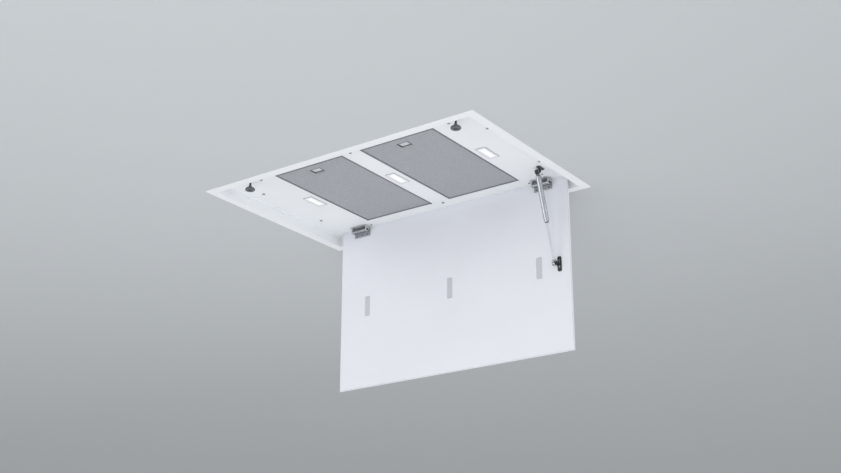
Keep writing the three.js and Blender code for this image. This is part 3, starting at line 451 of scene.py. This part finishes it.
def smoothing_group(name):
    """Shades a solid smooth, and sharp at the edges past SHARP."""
    group, mesh_in, mesh_out = geometry_group(name)
    faces = group.nodes.new("GeometryNodeSetShadeSmooth")
    faces.domain = "FACE"
    edges = group.nodes.new("GeometryNodeSetShadeSmooth")
    edges.domain = "EDGE"
    edges.inputs["Shade Smooth"].default_value = False
    angle = group.nodes.new("GeometryNodeInputMeshEdgeAngle")
    sharp = group.nodes.new("FunctionNodeCompare")
    sharp.operation = "GREATER_THAN"
    sharp.inputs["B"].default_value = SHARP
    group.links.new(angle.outputs["Unsigned Angle"], sharp.inputs["A"])
    group.links.new(sharp.outputs["Result"], edges.inputs["Selection"])
    group.links.new(mesh_in, faces.inputs["Geometry"])
    group.links.new(faces.outputs["Geometry"], edges.inputs["Geometry"])
    group.links.new(edges.outputs["Geometry"], mesh_out)
    return group


# Radius of the rounded edges on each kind of piece
EDGE_ROUND = {
    "trim_frame": 0.35, "face_plate": 0.25, "panel_skin": 0.45, "housing": 0.4, "terminal_cover": 0.6,
    "lamp_body": 0.5, "hinge": 0.3, "filter_frame": 0.25, "filter_latch": 0.4, "strut_top": 0.35,
    "strut_low_bracket": 0.35, "light_window": 0.2, "hanger": 0.3,
}

weld = welding_group("weld")
smooth = smoothing_group("smooth")
for name, node in nodes.items():
    node.modifiers.new("weld", "NODES").node_group = weld
    for kind, width in EDGE_ROUND.items():
        if name.startswith(kind):
            edge = node.modifiers.new("edge", "BEVEL")
            edge.width = width * MM
            edge.segments = 2
            edge.limit_method = "ANGLE"
            edge.angle_limit = BEVEL_ABOVE
    node.modifiers.new("smooth", "NODES").node_group = smooth
    flat = node.modifiers.new("flat", "WEIGHTED_NORMAL")
    flat.keep_sharp = True


# ---- Small pieces, built in millimetres ----

UP, DOWN, FRONT, BACK, RIGHT, LEFT = (0, 0, 1), (0, 0, -1), (0, -1, 0), (0, 1, 0), (1, 0, 0), (-1, 0, 0)
SOCKET_SLOPE = 0.12         # how far a socket's wall leans in
SOCKET_DEPTH = 0.6          # share of the head's height
HEAD_ROUND = 0.7            # share of the head's height or radius


def turned_to(place, facing):
    """The matrix that stands a shape made along Z at a place, facing another way."""
    turn = Vector(facing).to_track_quat("Z", "Y").to_matrix().to_4x4()
    return Matrix.Translation(Vector(place) * MM) @ turn


def around(count, radius, start=0.0):
    """Places spread evenly round a circle, from an angle in degrees."""
    for i in range(count):
        angle = math.radians(start) + math.tau * i / count
        yield radius * math.cos(angle), radius * math.sin(angle)


class Shape:
    """A small piece under construction."""

    def __init__(self):
        self.bm = bmesh.new()

    def soften(self, edges, width, segments=2):
        bmesh.ops.bevel(
            self.bm, geom=edges, offset=width * MM, offset_type="OFFSET", affect="EDGES",
            segments=segments, profile=0.5, material=-1, clamp_overlap=True,
        )

    def bar(self, start, end, radius, sides=12, edge=0.0):
        """A round bar from start to end."""
        start, end = Vector(start), Vector(end)
        made = bmesh.ops.create_cone(
            self.bm, cap_ends=True, segments=sides, radius1=radius * MM, radius2=radius * MM,
            depth=(end - start).length * MM, matrix=turned_to((start + end) / 2, end - start),
        )["verts"]
        if edge:
            self.soften(list({e for v in made for e in v.link_edges if self.is_rim(e)}), edge)

    @staticmethod
    def is_rim(edge):
        return any(len(face.verts) > 4 for face in edge.link_faces)

    def block(self, low, high, edge):
        """A block between two corners, with its edges rounded."""
        low, high = Vector(low) * MM, Vector(high) * MM
        place = Matrix.Translation((low + high) / 2) @ Matrix.Diagonal((*(high - low), 1))
        made = bmesh.ops.create_cube(self.bm, size=1, matrix=place)["verts"]
        self.soften(list({e for v in made for e in v.link_edges}), edge)

    def head(self, place, facing, radius, height, socket=0.45, sides=12):
        """A rounded screw or rivet head on a face, with a sunk socket of that share of its radius."""
        made = bmesh.ops.create_cone(
            self.bm, cap_ends=True, segments=sides, radius1=radius * MM, radius2=radius * MM,
            depth=height * MM, matrix=turned_to(place, facing) @ Matrix.Translation((0, 0, height / 2 * MM)),
        )["verts"]
        faces = {f for v in made for f in v.link_faces}
        caps = [f for f in faces if len(f.verts) > 4]
        cap = max(caps, key=lambda f: f.calc_center_median() @ Vector(facing))
        if socket:
            rim = (1 - socket) * radius
            bmesh.ops.inset_individual(self.bm, faces=[cap], thickness=rim * MM)
            bmesh.ops.inset_individual(
                self.bm, faces=[cap], thickness=SOCKET_SLOPE * MM, depth=-SOCKET_DEPTH * height * MM,
            )
            outer = [e for f in faces if f.is_valid and f is not cap and len(f.verts) == 4 for e in f.edges]
            out = [e for e in set(outer) if all(
                abs((v.co / MM - Vector(place)).dot(Vector(facing)) - height) < LEVEL for v in e.verts)]
        else:
            out = list(cap.edges)
        self.soften(out, HEAD_ROUND * min(height, radius), 3)

    def hoop(self, place, facing, radius, wire, steps=24, sides=8):
        """A ring of round wire."""
        before = set(self.bm.verts)
        across = Matrix.Translation((radius * MM, 0, 0)) @ Matrix.Rotation(math.pi / 2, 4, "X")
        made = bmesh.ops.create_circle(self.bm, segments=sides, radius=wire * MM, matrix=across)["verts"]
        edges = {e for v in made for e in v.link_edges}
        bmesh.ops.spin(
            self.bm, geom=[*made, *edges], cent=(0, 0, 0), axis=(0, 0, 1), angle=math.tau, steps=steps,
            use_merge=True,
        )
        bmesh.ops.transform(
            self.bm, matrix=turned_to(place, facing), verts=[v for v in self.bm.verts if v not in before],
        )

    def border(self, low, high, width, edge=0.2):
        """A flat rectangular ring lying in X and Y, between two corners of its outside."""
        low, high = Vector(low) * MM, Vector(high) * MM
        place = Matrix.Translation(((low.x + high.x) / 2, (low.y + high.y) / 2, low.z))
        size = Matrix.Diagonal((high.x - low.x, high.y - low.y, 1, 1))
        made = bmesh.ops.create_grid(
            self.bm, x_segments=1, y_segments=1, size=0.5, matrix=place @ size,
        )["verts"]
        middle = made[0].link_faces[0]
        ring = bmesh.ops.inset_individual(self.bm, faces=[middle], thickness=width * MM)["faces"]
        bmesh.ops.delete(self.bm, geom=[middle], context="FACES_ONLY")
        solid = bmesh.ops.solidify(self.bm, geom=ring, thickness=high.z - low.z)["geom"]
        faces = {f for f in solid if isinstance(f, bmesh.types.BMFace)} | set(ring)
        verts = {v for f in faces for v in f.verts}
        shift = low.z - min(v.co.z for v in verts)
        bmesh.ops.translate(self.bm, vec=(0, 0, shift), verts=list(verts))
        if edge:
            corners = {e for f in faces for e in f.edges if e.calc_face_angle(0) > CORNER}
            self.soften(list(corners), edge)

    def done(self, name, finish, body):
        """The finished piece, which moves with a body of the frame."""
        bmesh.ops.recalc_face_normals(self.bm, faces=self.bm.faces)
        for face in self.bm.faces:
            face.smooth = True
        for edge in self.bm.edges:
            edge.smooth = edge.calc_face_angle(0) < SHARP
        mesh = bpy.data.meshes.new(name)
        self.bm.to_mesh(mesh)
        self.bm.free()
        mesh.materials.append(finishes[finish])
        made = bpy.data.objects.new(name, mesh)
        bpy.context.scene.collection.objects.link(made)
        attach(made, body)
        return made


# ---- Filters ----

def runs(low, high, hole, cut):
    """The stretches of a wire from low to high: one, or the two beside a hole that cuts it."""
    return [(low, hole[0]), (hole[1], high)] if cut else [(low, high)]


def wire_cloth(name, x):
    """Two layers of straight wires in the filter's window, one along X and the other along Y below it.

    They leave out the room that the latch slides in.
    """
    cloth = Shape()
    half_x, half_y = (half - FILTER_EDGE - WIRE_FROM_EDGE for half in FILTER_HALF)
    grip_x, grip_y = (size / 2 + LATCH_ROOM for size in LATCH_GRIP)
    hole_x = (x - grip_x, x + grip_x)
    hole_y = (LATCH_Y - grip_y, LATCH_Y + grip_y + LATCH_TRAVEL)
    rows = int(2 * half_y / WIRE_PITCH)
    columns = int(2 * half_x / WIRE_PITCH)
    for i in range(rows + 1):
        y = (i - rows / 2) * WIRE_PITCH
        for start, end in runs(x - half_x, x + half_x, hole_x, hole_y[0] < y < hole_y[1]):
            cloth.bar((start, y, UPPER_WIRE), (end, y, UPPER_WIRE), WIRE, 6)
    for i in range(columns + 1):
        across = x + (i - columns / 2) * WIRE_PITCH
        for start, end in runs(-half_y, half_y, hole_y, hole_x[0] < across < hole_x[1]):
            cloth.bar((across, start, LOWER_WIRE), (across, end, LOWER_WIRE), WIRE, 6)
    cloth.done(f"filter_cloth_{name}", "wire", f"{name}_filter")


def filter_rivets(name, x):
    """Three rivets down each long side of the filter's channel, in the middle of its width."""
    rivets = Shape()
    reach_x, reach_y = (half - FILTER_EDGE / 2 for half in FILTER_HALF)
    for side in (-1, 1):
        for y in (-reach_y, 0, reach_y):
            rivets.head((x + side * reach_x, y, PLATE_LOW), DOWN, *FILTER_RIVET)
    rivets.done(f"filter_rivets_{name}", "filter_rim", f"{name}_filter")


def latch_rim(name, x):
    """The pressed rim round the latch's grip. Its darker colour is painted shade, the shadow in the gap round
    the grip.
    """
    width, rise = 1.8, 0.4
    rim = Shape()
    half_x, half_y = (size / 2 for size in LATCH_GRIP)
    rim.border(
        (x - half_x, LATCH_Y - half_y, PLATE_LOW - rise),
        (x + half_x, LATCH_Y + half_y, PLATE_LOW + rise), width,
    )
    rim.done(f"latch_rim_{name}", "latch_rim_painted_shade", f"{name}_latch")


def latch_pad(name, x):
    """The ribbed finger pad inside the latch's grip."""
    half_x, half_y, low = 13, 8, PLATE_LOW + 1.2
    rib_half, rib_pitch, rib_thick = 10, 2.4, 1.0
    pad = Shape()
    pad.block((x - half_x, LATCH_Y - half_y, low), (x + half_x, LATCH_Y + half_y, LATCH_FLOOR), 1.2)
    for i in range(-2, 3):
        y = LATCH_Y + rib_pitch * i
        pad.block(
            (x - rib_half, y - rib_thick / 2, low - 0.5), (x + rib_half, y + rib_thick / 2, low + 0.6), 0.3,
        )
    pad.done(f"latch_pad_{name}", "latch_light", f"{name}_latch")


def latch_shutter(name, x):
    """The thin plate behind the grip, which slides into the pad and closes the slot that the grip leaves."""
    half_x, overlap = 16, 0.8
    shutter = Shape()
    back = LATCH_Y + LATCH_GRIP[1] / 2
    shutter.block(
        (x - half_x, back - overlap, SHUTTER_LOW),
        (x + half_x, back + LATCH_TRAVEL + 2 * overlap, SHUTTER_LOW + SHUTTER_SHEET), 0.2,
    )
    shutter.done(f"latch_shutter_{name}", "wire", f"{name}_latch")


for side, name in ((-1, "left"), (1, "right")):
    wire_cloth(name, side * FILTER_X)
    filter_rivets(name, side * FILTER_X)
    latch_rim(name, side * FILTER_X)
    latch_pad(name, side * FILTER_X)
    latch_shutter(name, side * FILTER_X)


# ---- Lamps ----

def bezel_edge(name, x):
    """The thin metal edge round a lamp's white bezel."""
    out, width = 0.4, 2.4
    edge = Shape()
    half_x, half_y = (half + out for half in BEZEL_HALF)
    edge.border((x - half_x, -half_y, BEZEL_LOW - 0.3), (x + half_x, half_y, PLATE_LOW - 0.1), width)
    edge.done(f"lamp_edge_{name}", "bezel_edge", "hood")


for name, x in (("left", -LAMP_PITCH), ("middle", 0), ("right", LAMP_PITCH)):
    bezel_edge(name, x)


# ---- Hinges and cover panel ----

def hinge_fixings(name, x):
    """The screws of a hinge's foot and leaf, and the riveted ends of its pin."""
    foot_holes, foot_y = (-17, 17), HINGE_AXIS[0] - 8.6
    leaf_holes, leaf_z = (-20, 0, 20), 8.5
    pin_end = PIN_HALF - 0.2
    base = Shape()
    for across in foot_holes:
        base.head((x + across, foot_y, FOOT_LOW), DOWN, *FOOT_SCREW)
    base.done(f"hinge_foot_screws_{name}", "screw_steel", "hood")
    caps = Shape()
    for side in (-1, 1):
        caps.head((x + side * pin_end, *HINGE_AXIS), (side, 0, 0), *PIN_CAP)
    caps.done(f"hinge_pin_caps_{name}", "steel_pin", "hood")
    leaf = Shape()
    for across in leaf_holes:
        leaf.head((x + across, LEAF_FACE, leaf_z), FRONT, *LEAF_SCREW)
    leaf.done(f"hinge_leaf_screws_{name}", "nickel", "cover_panel")


def panel_seal():
    """The soft strip along the panel's hinge edge, which closes the gap to the face plate."""
    from_end, from_face, sunk = 2, 0.4, 0.2
    seal = Shape()
    seal.block(
        (-PANEL_HALF + from_end, PANEL_FACE + from_face, PANEL_TOP - sunk),
        (PANEL_HALF - from_end, PANEL_BACK - from_face, PLATE_LOW), 0.5,
    )
    seal.done("panel_seal", "panel_white", "cover_panel")


hinge_fixings("left", -HINGE_X)
hinge_fixings("right", HINGE_X)
panel_seal()


# ---- Gas strut ----

def along_strut(distance):
    return UPPER_BALL + (LOWER_BALL - UPPER_BALL).normalized() * distance


def strut_details():
    """The tube's two rolled rings and the rod's guide, and at each end a spring clip and a lock nut."""
    rings, ring_radius, ring_wire = (17, 131), 7.35, 0.45
    guide, guide_radius = (141.8, 144.3), 5.4
    clip_back, clip_radius, clip_wire = Vector((-1.6, 0, 0)), 6.05, 0.55
    nut, nut_radius = (7.5, 10.2), 5.6
    down = LOWER_BALL - UPPER_BALL
    rolled = Shape()
    for distance in rings:
        rolled.hoop(along_strut(distance), down, ring_radius, ring_wire)
    rolled.done("strut_rolled_rings", "tube_chrome", "strut_barrel")
    wiper = Shape()
    wiper.bar(along_strut(guide[0]), along_strut(guide[1]), guide_radius, 20, 0.6)
    wiper.done("strut_rod_guide", "black_rubber", "strut_barrel")
    upper = Shape()
    upper.hoop(UPPER_BALL + clip_back, RIGHT, clip_radius, clip_wire)
    upper.bar(along_strut(nut[0]), along_strut(nut[1]), nut_radius, 6)
    upper.done("strut_clip_upper", "screw_steel", "strut_barrel")
    lower = Shape()
    lower.hoop(LOWER_BALL + clip_back, RIGHT, clip_radius, clip_wire)
    nut_start, nut_end = (LOWER_BALL - down.normalized() * reach for reach in reversed(nut))
    lower.bar(nut_start, nut_end, nut_radius, 6)
    lower.done("strut_clip_lower", "screw_steel", "strut_plunger")


def bracket_fixings():
    """The screws and ball-stud nuts of the strut's brackets, and the pressed rib of the lower one's foot,
    whose light nickel on the black foot is a painted highlight.
    """
    foot_x, nut_x = STRUT_X + 9.5, STRUT_X + 7
    nut_thick, nut_radius = 3, 4
    top_holes, low_holes = (-10.5, 10.5), (-16.5, 16.5)
    rib_half, rib_length, rib_rise, rib_round = 2.2, 24, 3.6, 0.9
    top = Shape()
    for y in top_holes:
        top.head((foot_x, UPPER_BALL.y + y, PLATE_LOW - BRACKET_FOOT - 0.3), DOWN, *BRACKET_SCREW)
    stud = Vector((nut_x, UPPER_BALL.y, UPPER_BALL.z))
    top.bar(stud, stud + Vector((nut_thick, 0, 0)), nut_radius, 6, 0.3)
    top.done("strut_top_bracket_fixings", "screw_black", "hood")
    low = Shape()
    for z in low_holes:
        low.head((foot_x, PANEL_FACE - BRACKET_FOOT - 0.3, LOWER_BALL.z + z), FRONT, *BRACKET_SCREW)
    stud = Vector((nut_x, LOWER_BALL.y, LOWER_BALL.z))
    low.bar(stud, stud + Vector((nut_thick, 0, 0)), nut_radius, 6, 0.3)
    low.done("strut_low_bracket_fixings", "screw_black", "cover_panel")
    # Painted highlight: a light nickel strip down the middle of the black bracket, standing in for the
    # reflection there.
    rib = Shape()
    rib.block(
        (foot_x - rib_half, PANEL_FACE - rib_rise, LOWER_BALL.z - rib_length / 2),
        (foot_x + rib_half, PANEL_FACE - BRACKET_FOOT - 0.2, LOWER_BALL.z + rib_length / 2), rib_round,
    )
    rib.done("strut_low_bracket_highlight_rib", "nickel", "cover_panel")


strut_details()
bracket_fixings()


# ---- Recess ----

def corner_bead():
    """The painted bead that rounds the corner between the face plate and the recess's walls."""
    in_wall, in_plate, fullness = 0.1, 0.05, 0.97
    bead = Shape()
    half_x, half_y = (half + in_wall for half in RECESS_HALF)
    top = PLATE_LOW + in_plate
    bead.border((-half_x, -half_y, top - BEAD), (half_x, half_y, top), BEAD, 0)
    inner = [
        e for e in bead.bm.edges
        if all(v.co.z < (top - BEAD / 2) * MM and abs(v.co.x) < (half_x - BEAD / 2) * MM
               and abs(v.co.y) < (half_y - BEAD / 2) * MM for v in e.verts)
    ]
    bead.soften(inner, fullness * BEAD, 5)
    bead.done("recess_corner_bead", "plate_white", "hood")


def recess_fixings():
    """The small black screws beside hinges, strut and filter, and the painted ones of the walls."""
    beside_hinge, beside_strut, beside_filter = (282, 247), (346, 211), (-33, 211)
    wall_z, long_wall, short_wall = 22, (-280, 0, 280), (-150, 0, 150)
    black = Shape()
    for x, y in ((-beside_hinge[0], beside_hinge[1]), beside_hinge, beside_strut):
        black.head((x, y, PLATE_LOW), DOWN, *SMALL_SCREW)
    black.done("plate_small_screws", "screw_black", "hood")
    corner = Shape()
    corner.head((*beside_filter, PLATE_LOW), DOWN, *SMALL_SCREW)
    corner.done("filter_corner_screw_left", "screw_black", "left_filter")
    walls = Shape()
    half_x, half_y = RECESS_HALF
    for x in long_wall:
        walls.head((x, -half_y, wall_z), BACK, *WALL_SCREW)
        walls.head((x, half_y, wall_z), FRONT, *WALL_SCREW)
    for y in short_wall:
        walls.head((-half_x, y, wall_z), RIGHT, *WALL_SCREW)
        walls.head((half_x, y, wall_z), LEFT, *WALL_SCREW)
    walls.done("recess_wall_screws", "plate_white", "hood")


def catch_core(name):
    """The bare face of the magnet, in the middle of its grey cup."""
    radius, proud, sunk = 7.5, 0.15, 1.2
    low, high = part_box(f"catch_magnet_{name}")
    x, y = ((low[i] + high[i]) / 2 / MM for i in (0, 1))
    face = low[2] / MM
    core = Shape()
    core.bar((x, y, face - proud), (x, y, face + sunk), radius, 24, 0.1)
    core.done(f"catch_core_{name}", "screw_black", "hood")


corner_bead()
recess_fixings()
for name in ("left", "right"):
    catch_core(name)


# ---- Housing ----

def housing_fixings():
    """The rivets of the housing's seams, and the washers and nuts that the motor hangs on."""
    from_edge, from_low = 11, 14
    long_count, long_pitch = 11, 80
    duct_side = 1
    short_rows = (-170, -85, 0, 85, 170)
    bolt_circle, washer, nut = 48, (9, 1.6), (5.6, 4.8)
    rivets = Shape()
    half_x, half_y = HOUSING_HALF
    for i in range(long_count):
        step = i - long_count // 2
        for side in (-1, 1):
            rivets.head((step * long_pitch, side * (half_y - from_edge), HOUSING_TOP), UP, *HOUSING_RIVET)
            if abs(step) > 1 or side != duct_side:
                low_seam = (step * long_pitch, side * half_y, HOUSING_LOW + from_low)
                rivets.head(low_seam, (0, side, 0), *HOUSING_RIVET)
    for y in short_rows:
        for side in (-1, 1):
            rivets.head((side * (half_x - from_edge), y, HOUSING_TOP), UP, *HOUSING_RIVET)
            rivets.head((side * half_x, y, HOUSING_LOW + from_low), (side, 0, 0), *HOUSING_RIVET)
    rivets.done("housing_rivets", "rivet", "hood")
    mount = Shape()
    for x, y in around(4, bolt_circle, 45):
        seat = Vector((FAN_X + x, y, HOUSING_TOP))
        nut_seat = seat + Vector((0, 0, washer[1]))
        mount.bar(seat, nut_seat, washer[0], 24, 0.4)
        mount.bar(nut_seat, nut_seat + Vector((0, 0, nut[1])), nut[0], 6, 0.5)
    mount.done("motor_mount_screws", "screw_steel", "hood")


def hanger_fixings():
    """The two rivets that hold each hanger to the housing's wall."""
    from_top, holes = 36, (-12, 12)
    rivets = Shape()
    for x_side in (-1, 1):
        for y_side in (-1, 1):
            for across in holes:
                place = (x_side * HANGER_FACE, y_side * HANGER_Y + across, HANGER_TOP - from_top)
                rivets.head(place, (x_side, 0, 0), *HANGER_RIVET)
    rivets.done("hanger_rivets", "rivet", "hood")


def terminal_details():
    """The cover's screws and ribs, and the flutes that the gland's cap is turned by."""
    hole_x, hole_y = 73, 43
    rib_half, rib_pitch, rib_thick, rib_rise, rib_sunk = 45, 8, 2, 1, 0.3
    flute_circle, flute_radius, flute_start, flute_end = 9, 0.9, 1.2, 11
    screws = Shape()
    for x in (-hole_x, hole_x):
        for y in (-hole_y, hole_y):
            screws.head((BOX[0] + x, BOX[1] + y, COVER_TOP), UP, *COVER_SCREW)
    screws.done("terminal_cover_screws", "screw_steel", "hood")
    ribs = Shape()
    for i in range(-2, 3):
        y = BOX[1] + i * rib_pitch
        ribs.block(
            (BOX[0] - rib_half, y - rib_thick / 2, COVER_TOP - rib_sunk),
            (BOX[0] + rib_half, y + rib_thick / 2, COVER_TOP + rib_rise), 0.4,
        )
    ribs.done("terminal_cover_ribs", "dark_plastic", "hood")
    flutes = Shape()
    for y, z in around(12, flute_circle):
        centre = Vector((BOX_END, BOX[1] + y, GLAND_Z + z))
        start, end = (centre - Vector((reach, 0, 0)) for reach in (flute_start, flute_end))
        flutes.bar(start, end, flute_radius, 8, 0.3)
    flutes.done("cable_gland_flutes", "dark_plastic", "hood")


def collar_rivets():
    """The rivets round the flange of the outlet collar."""
    rivet_circle = 79.4
    rivets = Shape()
    for x, z in around(8, rivet_circle, 22.5):
        rivets.head((x, COLLAR_FACE, COLLAR_Z + z), BACK, *COLLAR_RIVET)
    rivets.done("collar_rivets", "rivet", "hood")


def blower_fixings():
    """The screws of the inlet ring, and those that hold the impeller to its rotor."""
    ring_circle, hub_circle = 94, 55
    ring = Shape()
    for x, y in around(6, ring_circle):
        ring.head((FAN_X + x, y, RING_LOW), DOWN, *RING_SCREW)
    ring.done("inlet_ring_screws", "screw_steel", "hood")
    hub = Shape()
    for x, y in around(6, hub_circle, 15):
        hub.head((FAN_X + x, y, FAN_PLATE_LOW), DOWN, *HUB_SCREW)
    hub.done("fan_hub_screws", "screw_steel", "fan")


housing_fixings()
hanger_fixings()
terminal_details()
collar_rivets()
blower_fixings()


# ---- Stage ----

def studio():
    """Even light from all round. The camera, mirrored and passing rays meet a plain pale background."""
    world = bpy.data.worlds.new("studio")
    bpy.context.scene.world = world
    world.use_nodes = True
    tree = world.node_tree
    light = tree.nodes["Background"]
    light.inputs["Color"].default_value = (0.995, 0.997, 1.0, 1.0)
    light.inputs["Strength"].default_value = 0.71
    seen = tree.nodes.new("ShaderNodeBackground")
    seen.inputs["Color"].default_value = paint(226, 228, 230)
    rays = tree.nodes.new("ShaderNodeLightPath")
    both = tree.nodes.new("ShaderNodeMixShader")
    straight = rays.outputs["Is Camera Ray"]
    for kind in ("Is Glossy Ray", "Is Transmission Ray"):
        either = tree.nodes.new("ShaderNodeMath")
        either.operation = "MAXIMUM"
        tree.links.new(straight, either.inputs[0])
        tree.links.new(rays.outputs[kind], either.inputs[1])
        straight = either.outputs["Value"]
    tree.links.new(straight, both.inputs["Fac"])
    tree.links.new(light.outputs["Background"], both.inputs[1])
    tree.links.new(seen.outputs["Background"], both.inputs[2])
    tree.links.new(both.outputs["Shader"], tree.nodes["World Output"].inputs["Surface"])


def soft_light(name, place, aim, size, power):
    """A round lamp, in metres and watts, that lights the hood and isn't seen itself."""
    data = bpy.data.lights.new(name, "AREA")
    data.shape = "DISK"
    data.size = size
    data.energy = power
    lamp = bpy.data.objects.new(name, data)
    lamp.location = place
    lamp.rotation_euler = (Vector(aim) - Vector(place)).to_track_quat("-Z", "Y").to_euler()
    lamp.visible_camera = False
    bpy.context.scene.collection.objects.link(lamp)


def stage_piece(name, bm, material):
    """A piece of the surroundings, which is left out of the export."""
    mesh = bpy.data.meshes.new(name)
    bm.to_mesh(mesh)
    bm.free()
    mesh.materials.append(material)
    made = bpy.data.objects.new(name, mesh)
    bpy.context.scene.collection.objects.link(made)
    return made


def clear_from_behind(made):
    """Lets a stage piece be seen from its face's side only, so that it hides nothing from the other."""
    both = made.add("ShaderNodeMixShader")
    made.put(both.inputs["Fac"], made.add("ShaderNodeNewGeometry").outputs["Backfacing"])
    made.put(both.inputs[1], made.shader.outputs["BSDF"])
    made.put(both.inputs[2], made.add("ShaderNodeBsdfTransparent").outputs["BSDF"])
    made.put(made.tree.nodes["Material Output"].inputs["Surface"], both.outputs["Shader"])


def ceiling_board():
    """A plain board that the flange lies against, seen only from below. Its colour is painted darker towards
    the back, as painted shade of the light falling off.
    """
    room, above = 3, 0.2        # in millimetres: the opening past the recess, and the board above the flange
    far = (34, 52, 1)           # the board's outside, as so many times the opening
    made = Finish("ceiling_board")
    # Painted shade: the colour darkens from front to back along Y, standing in for the light falling off away
    # from the room.
    depth = made.add("ShaderNodeSeparateXYZ", {"Vector": made.place}).outputs["Y"]
    painted_shade = made.ranged(depth, 0, 1, -1.3, 1.5)
    made.set(
        Base_Color=made.mixed(painted_shade, paint(196, 200, 203), paint(184, 188, 191)),
        Roughness=0.9,
        Specular_IOR_Level=0.1,
    )
    made.bump(made.noise(500, 2), 0.0001, 0.3)
    clear_from_behind(made)
    bm = bmesh.new()
    bmesh.ops.create_grid(bm, x_segments=1, y_segments=1, size=0.5)
    opening = [2 * (half + room) * MM for half in RECESS_HALF]
    bmesh.ops.scale(bm, vec=(*opening, 1), verts=bm.verts)
    middle = list(bm.faces)
    out = bmesh.ops.extrude_edge_only(bm, edges=bm.edges[:])
    outer = [v for v in out["geom"] if isinstance(v, bmesh.types.BMVert)]
    bmesh.ops.scale(bm, vec=far, verts=outer)
    bmesh.ops.delete(bm, geom=middle, context="FACES_ONLY")
    bmesh.ops.translate(bm, vec=(0, 0, above * MM), verts=bm.verts)
    bmesh.ops.recalc_face_normals(bm, faces=bm.faces)
    if bm.faces[0].normal.z > 0:
        bmesh.ops.reverse_faces(bm, faces=bm.faces)
    board = stage_piece("ceiling_board", bm, made.material)
    board.visible_shadow = False
    board.visible_diffuse = False


def floor():
    """A pale floor under the hood, seen only from above."""
    half, low = 14, -2.4
    made = Finish("floor")
    cloud = made.ranged(made.noise(0.8, 3), 0, 1)
    made.set(
        Base_Color=made.mixed(cloud, paint(236, 237, 238), paint(240, 241, 242)),
        Roughness=0.8,
        Specular_IOR_Level=0.2,
    )
    clear_from_behind(made)
    bm = bmesh.new()
    bmesh.ops.create_grid(bm, x_segments=1, y_segments=1, size=half)
    bmesh.ops.translate(bm, vec=(0, 0, low), verts=bm.verts)
    stage_piece("floor", bm, made.material)


studio()
ceiling_board()
floor()
soft_light("front_light", (-1.8, -3.5, -0.1), (0, 0, -0.1), 3.0, 44)
soft_light("fill_light", (1.2, -2.4, -1.6), (0.2, 0.1, 0), 1.6, 12)
soft_light("floor_light", (0.1, 0.1, -2.3), (0, 0, 0), 1.2, 8.5)
soft_light("side_light", (6.0, 0.2, -0.5), (-0.3, 0, 0), 1.8, 74)
soft_light("top_light", (-0.6, 0.8, 3.5), (0, 0, 0), 3.0, 22)

scene = bpy.context.scene
scene.view_settings.view_transform = "Standard"
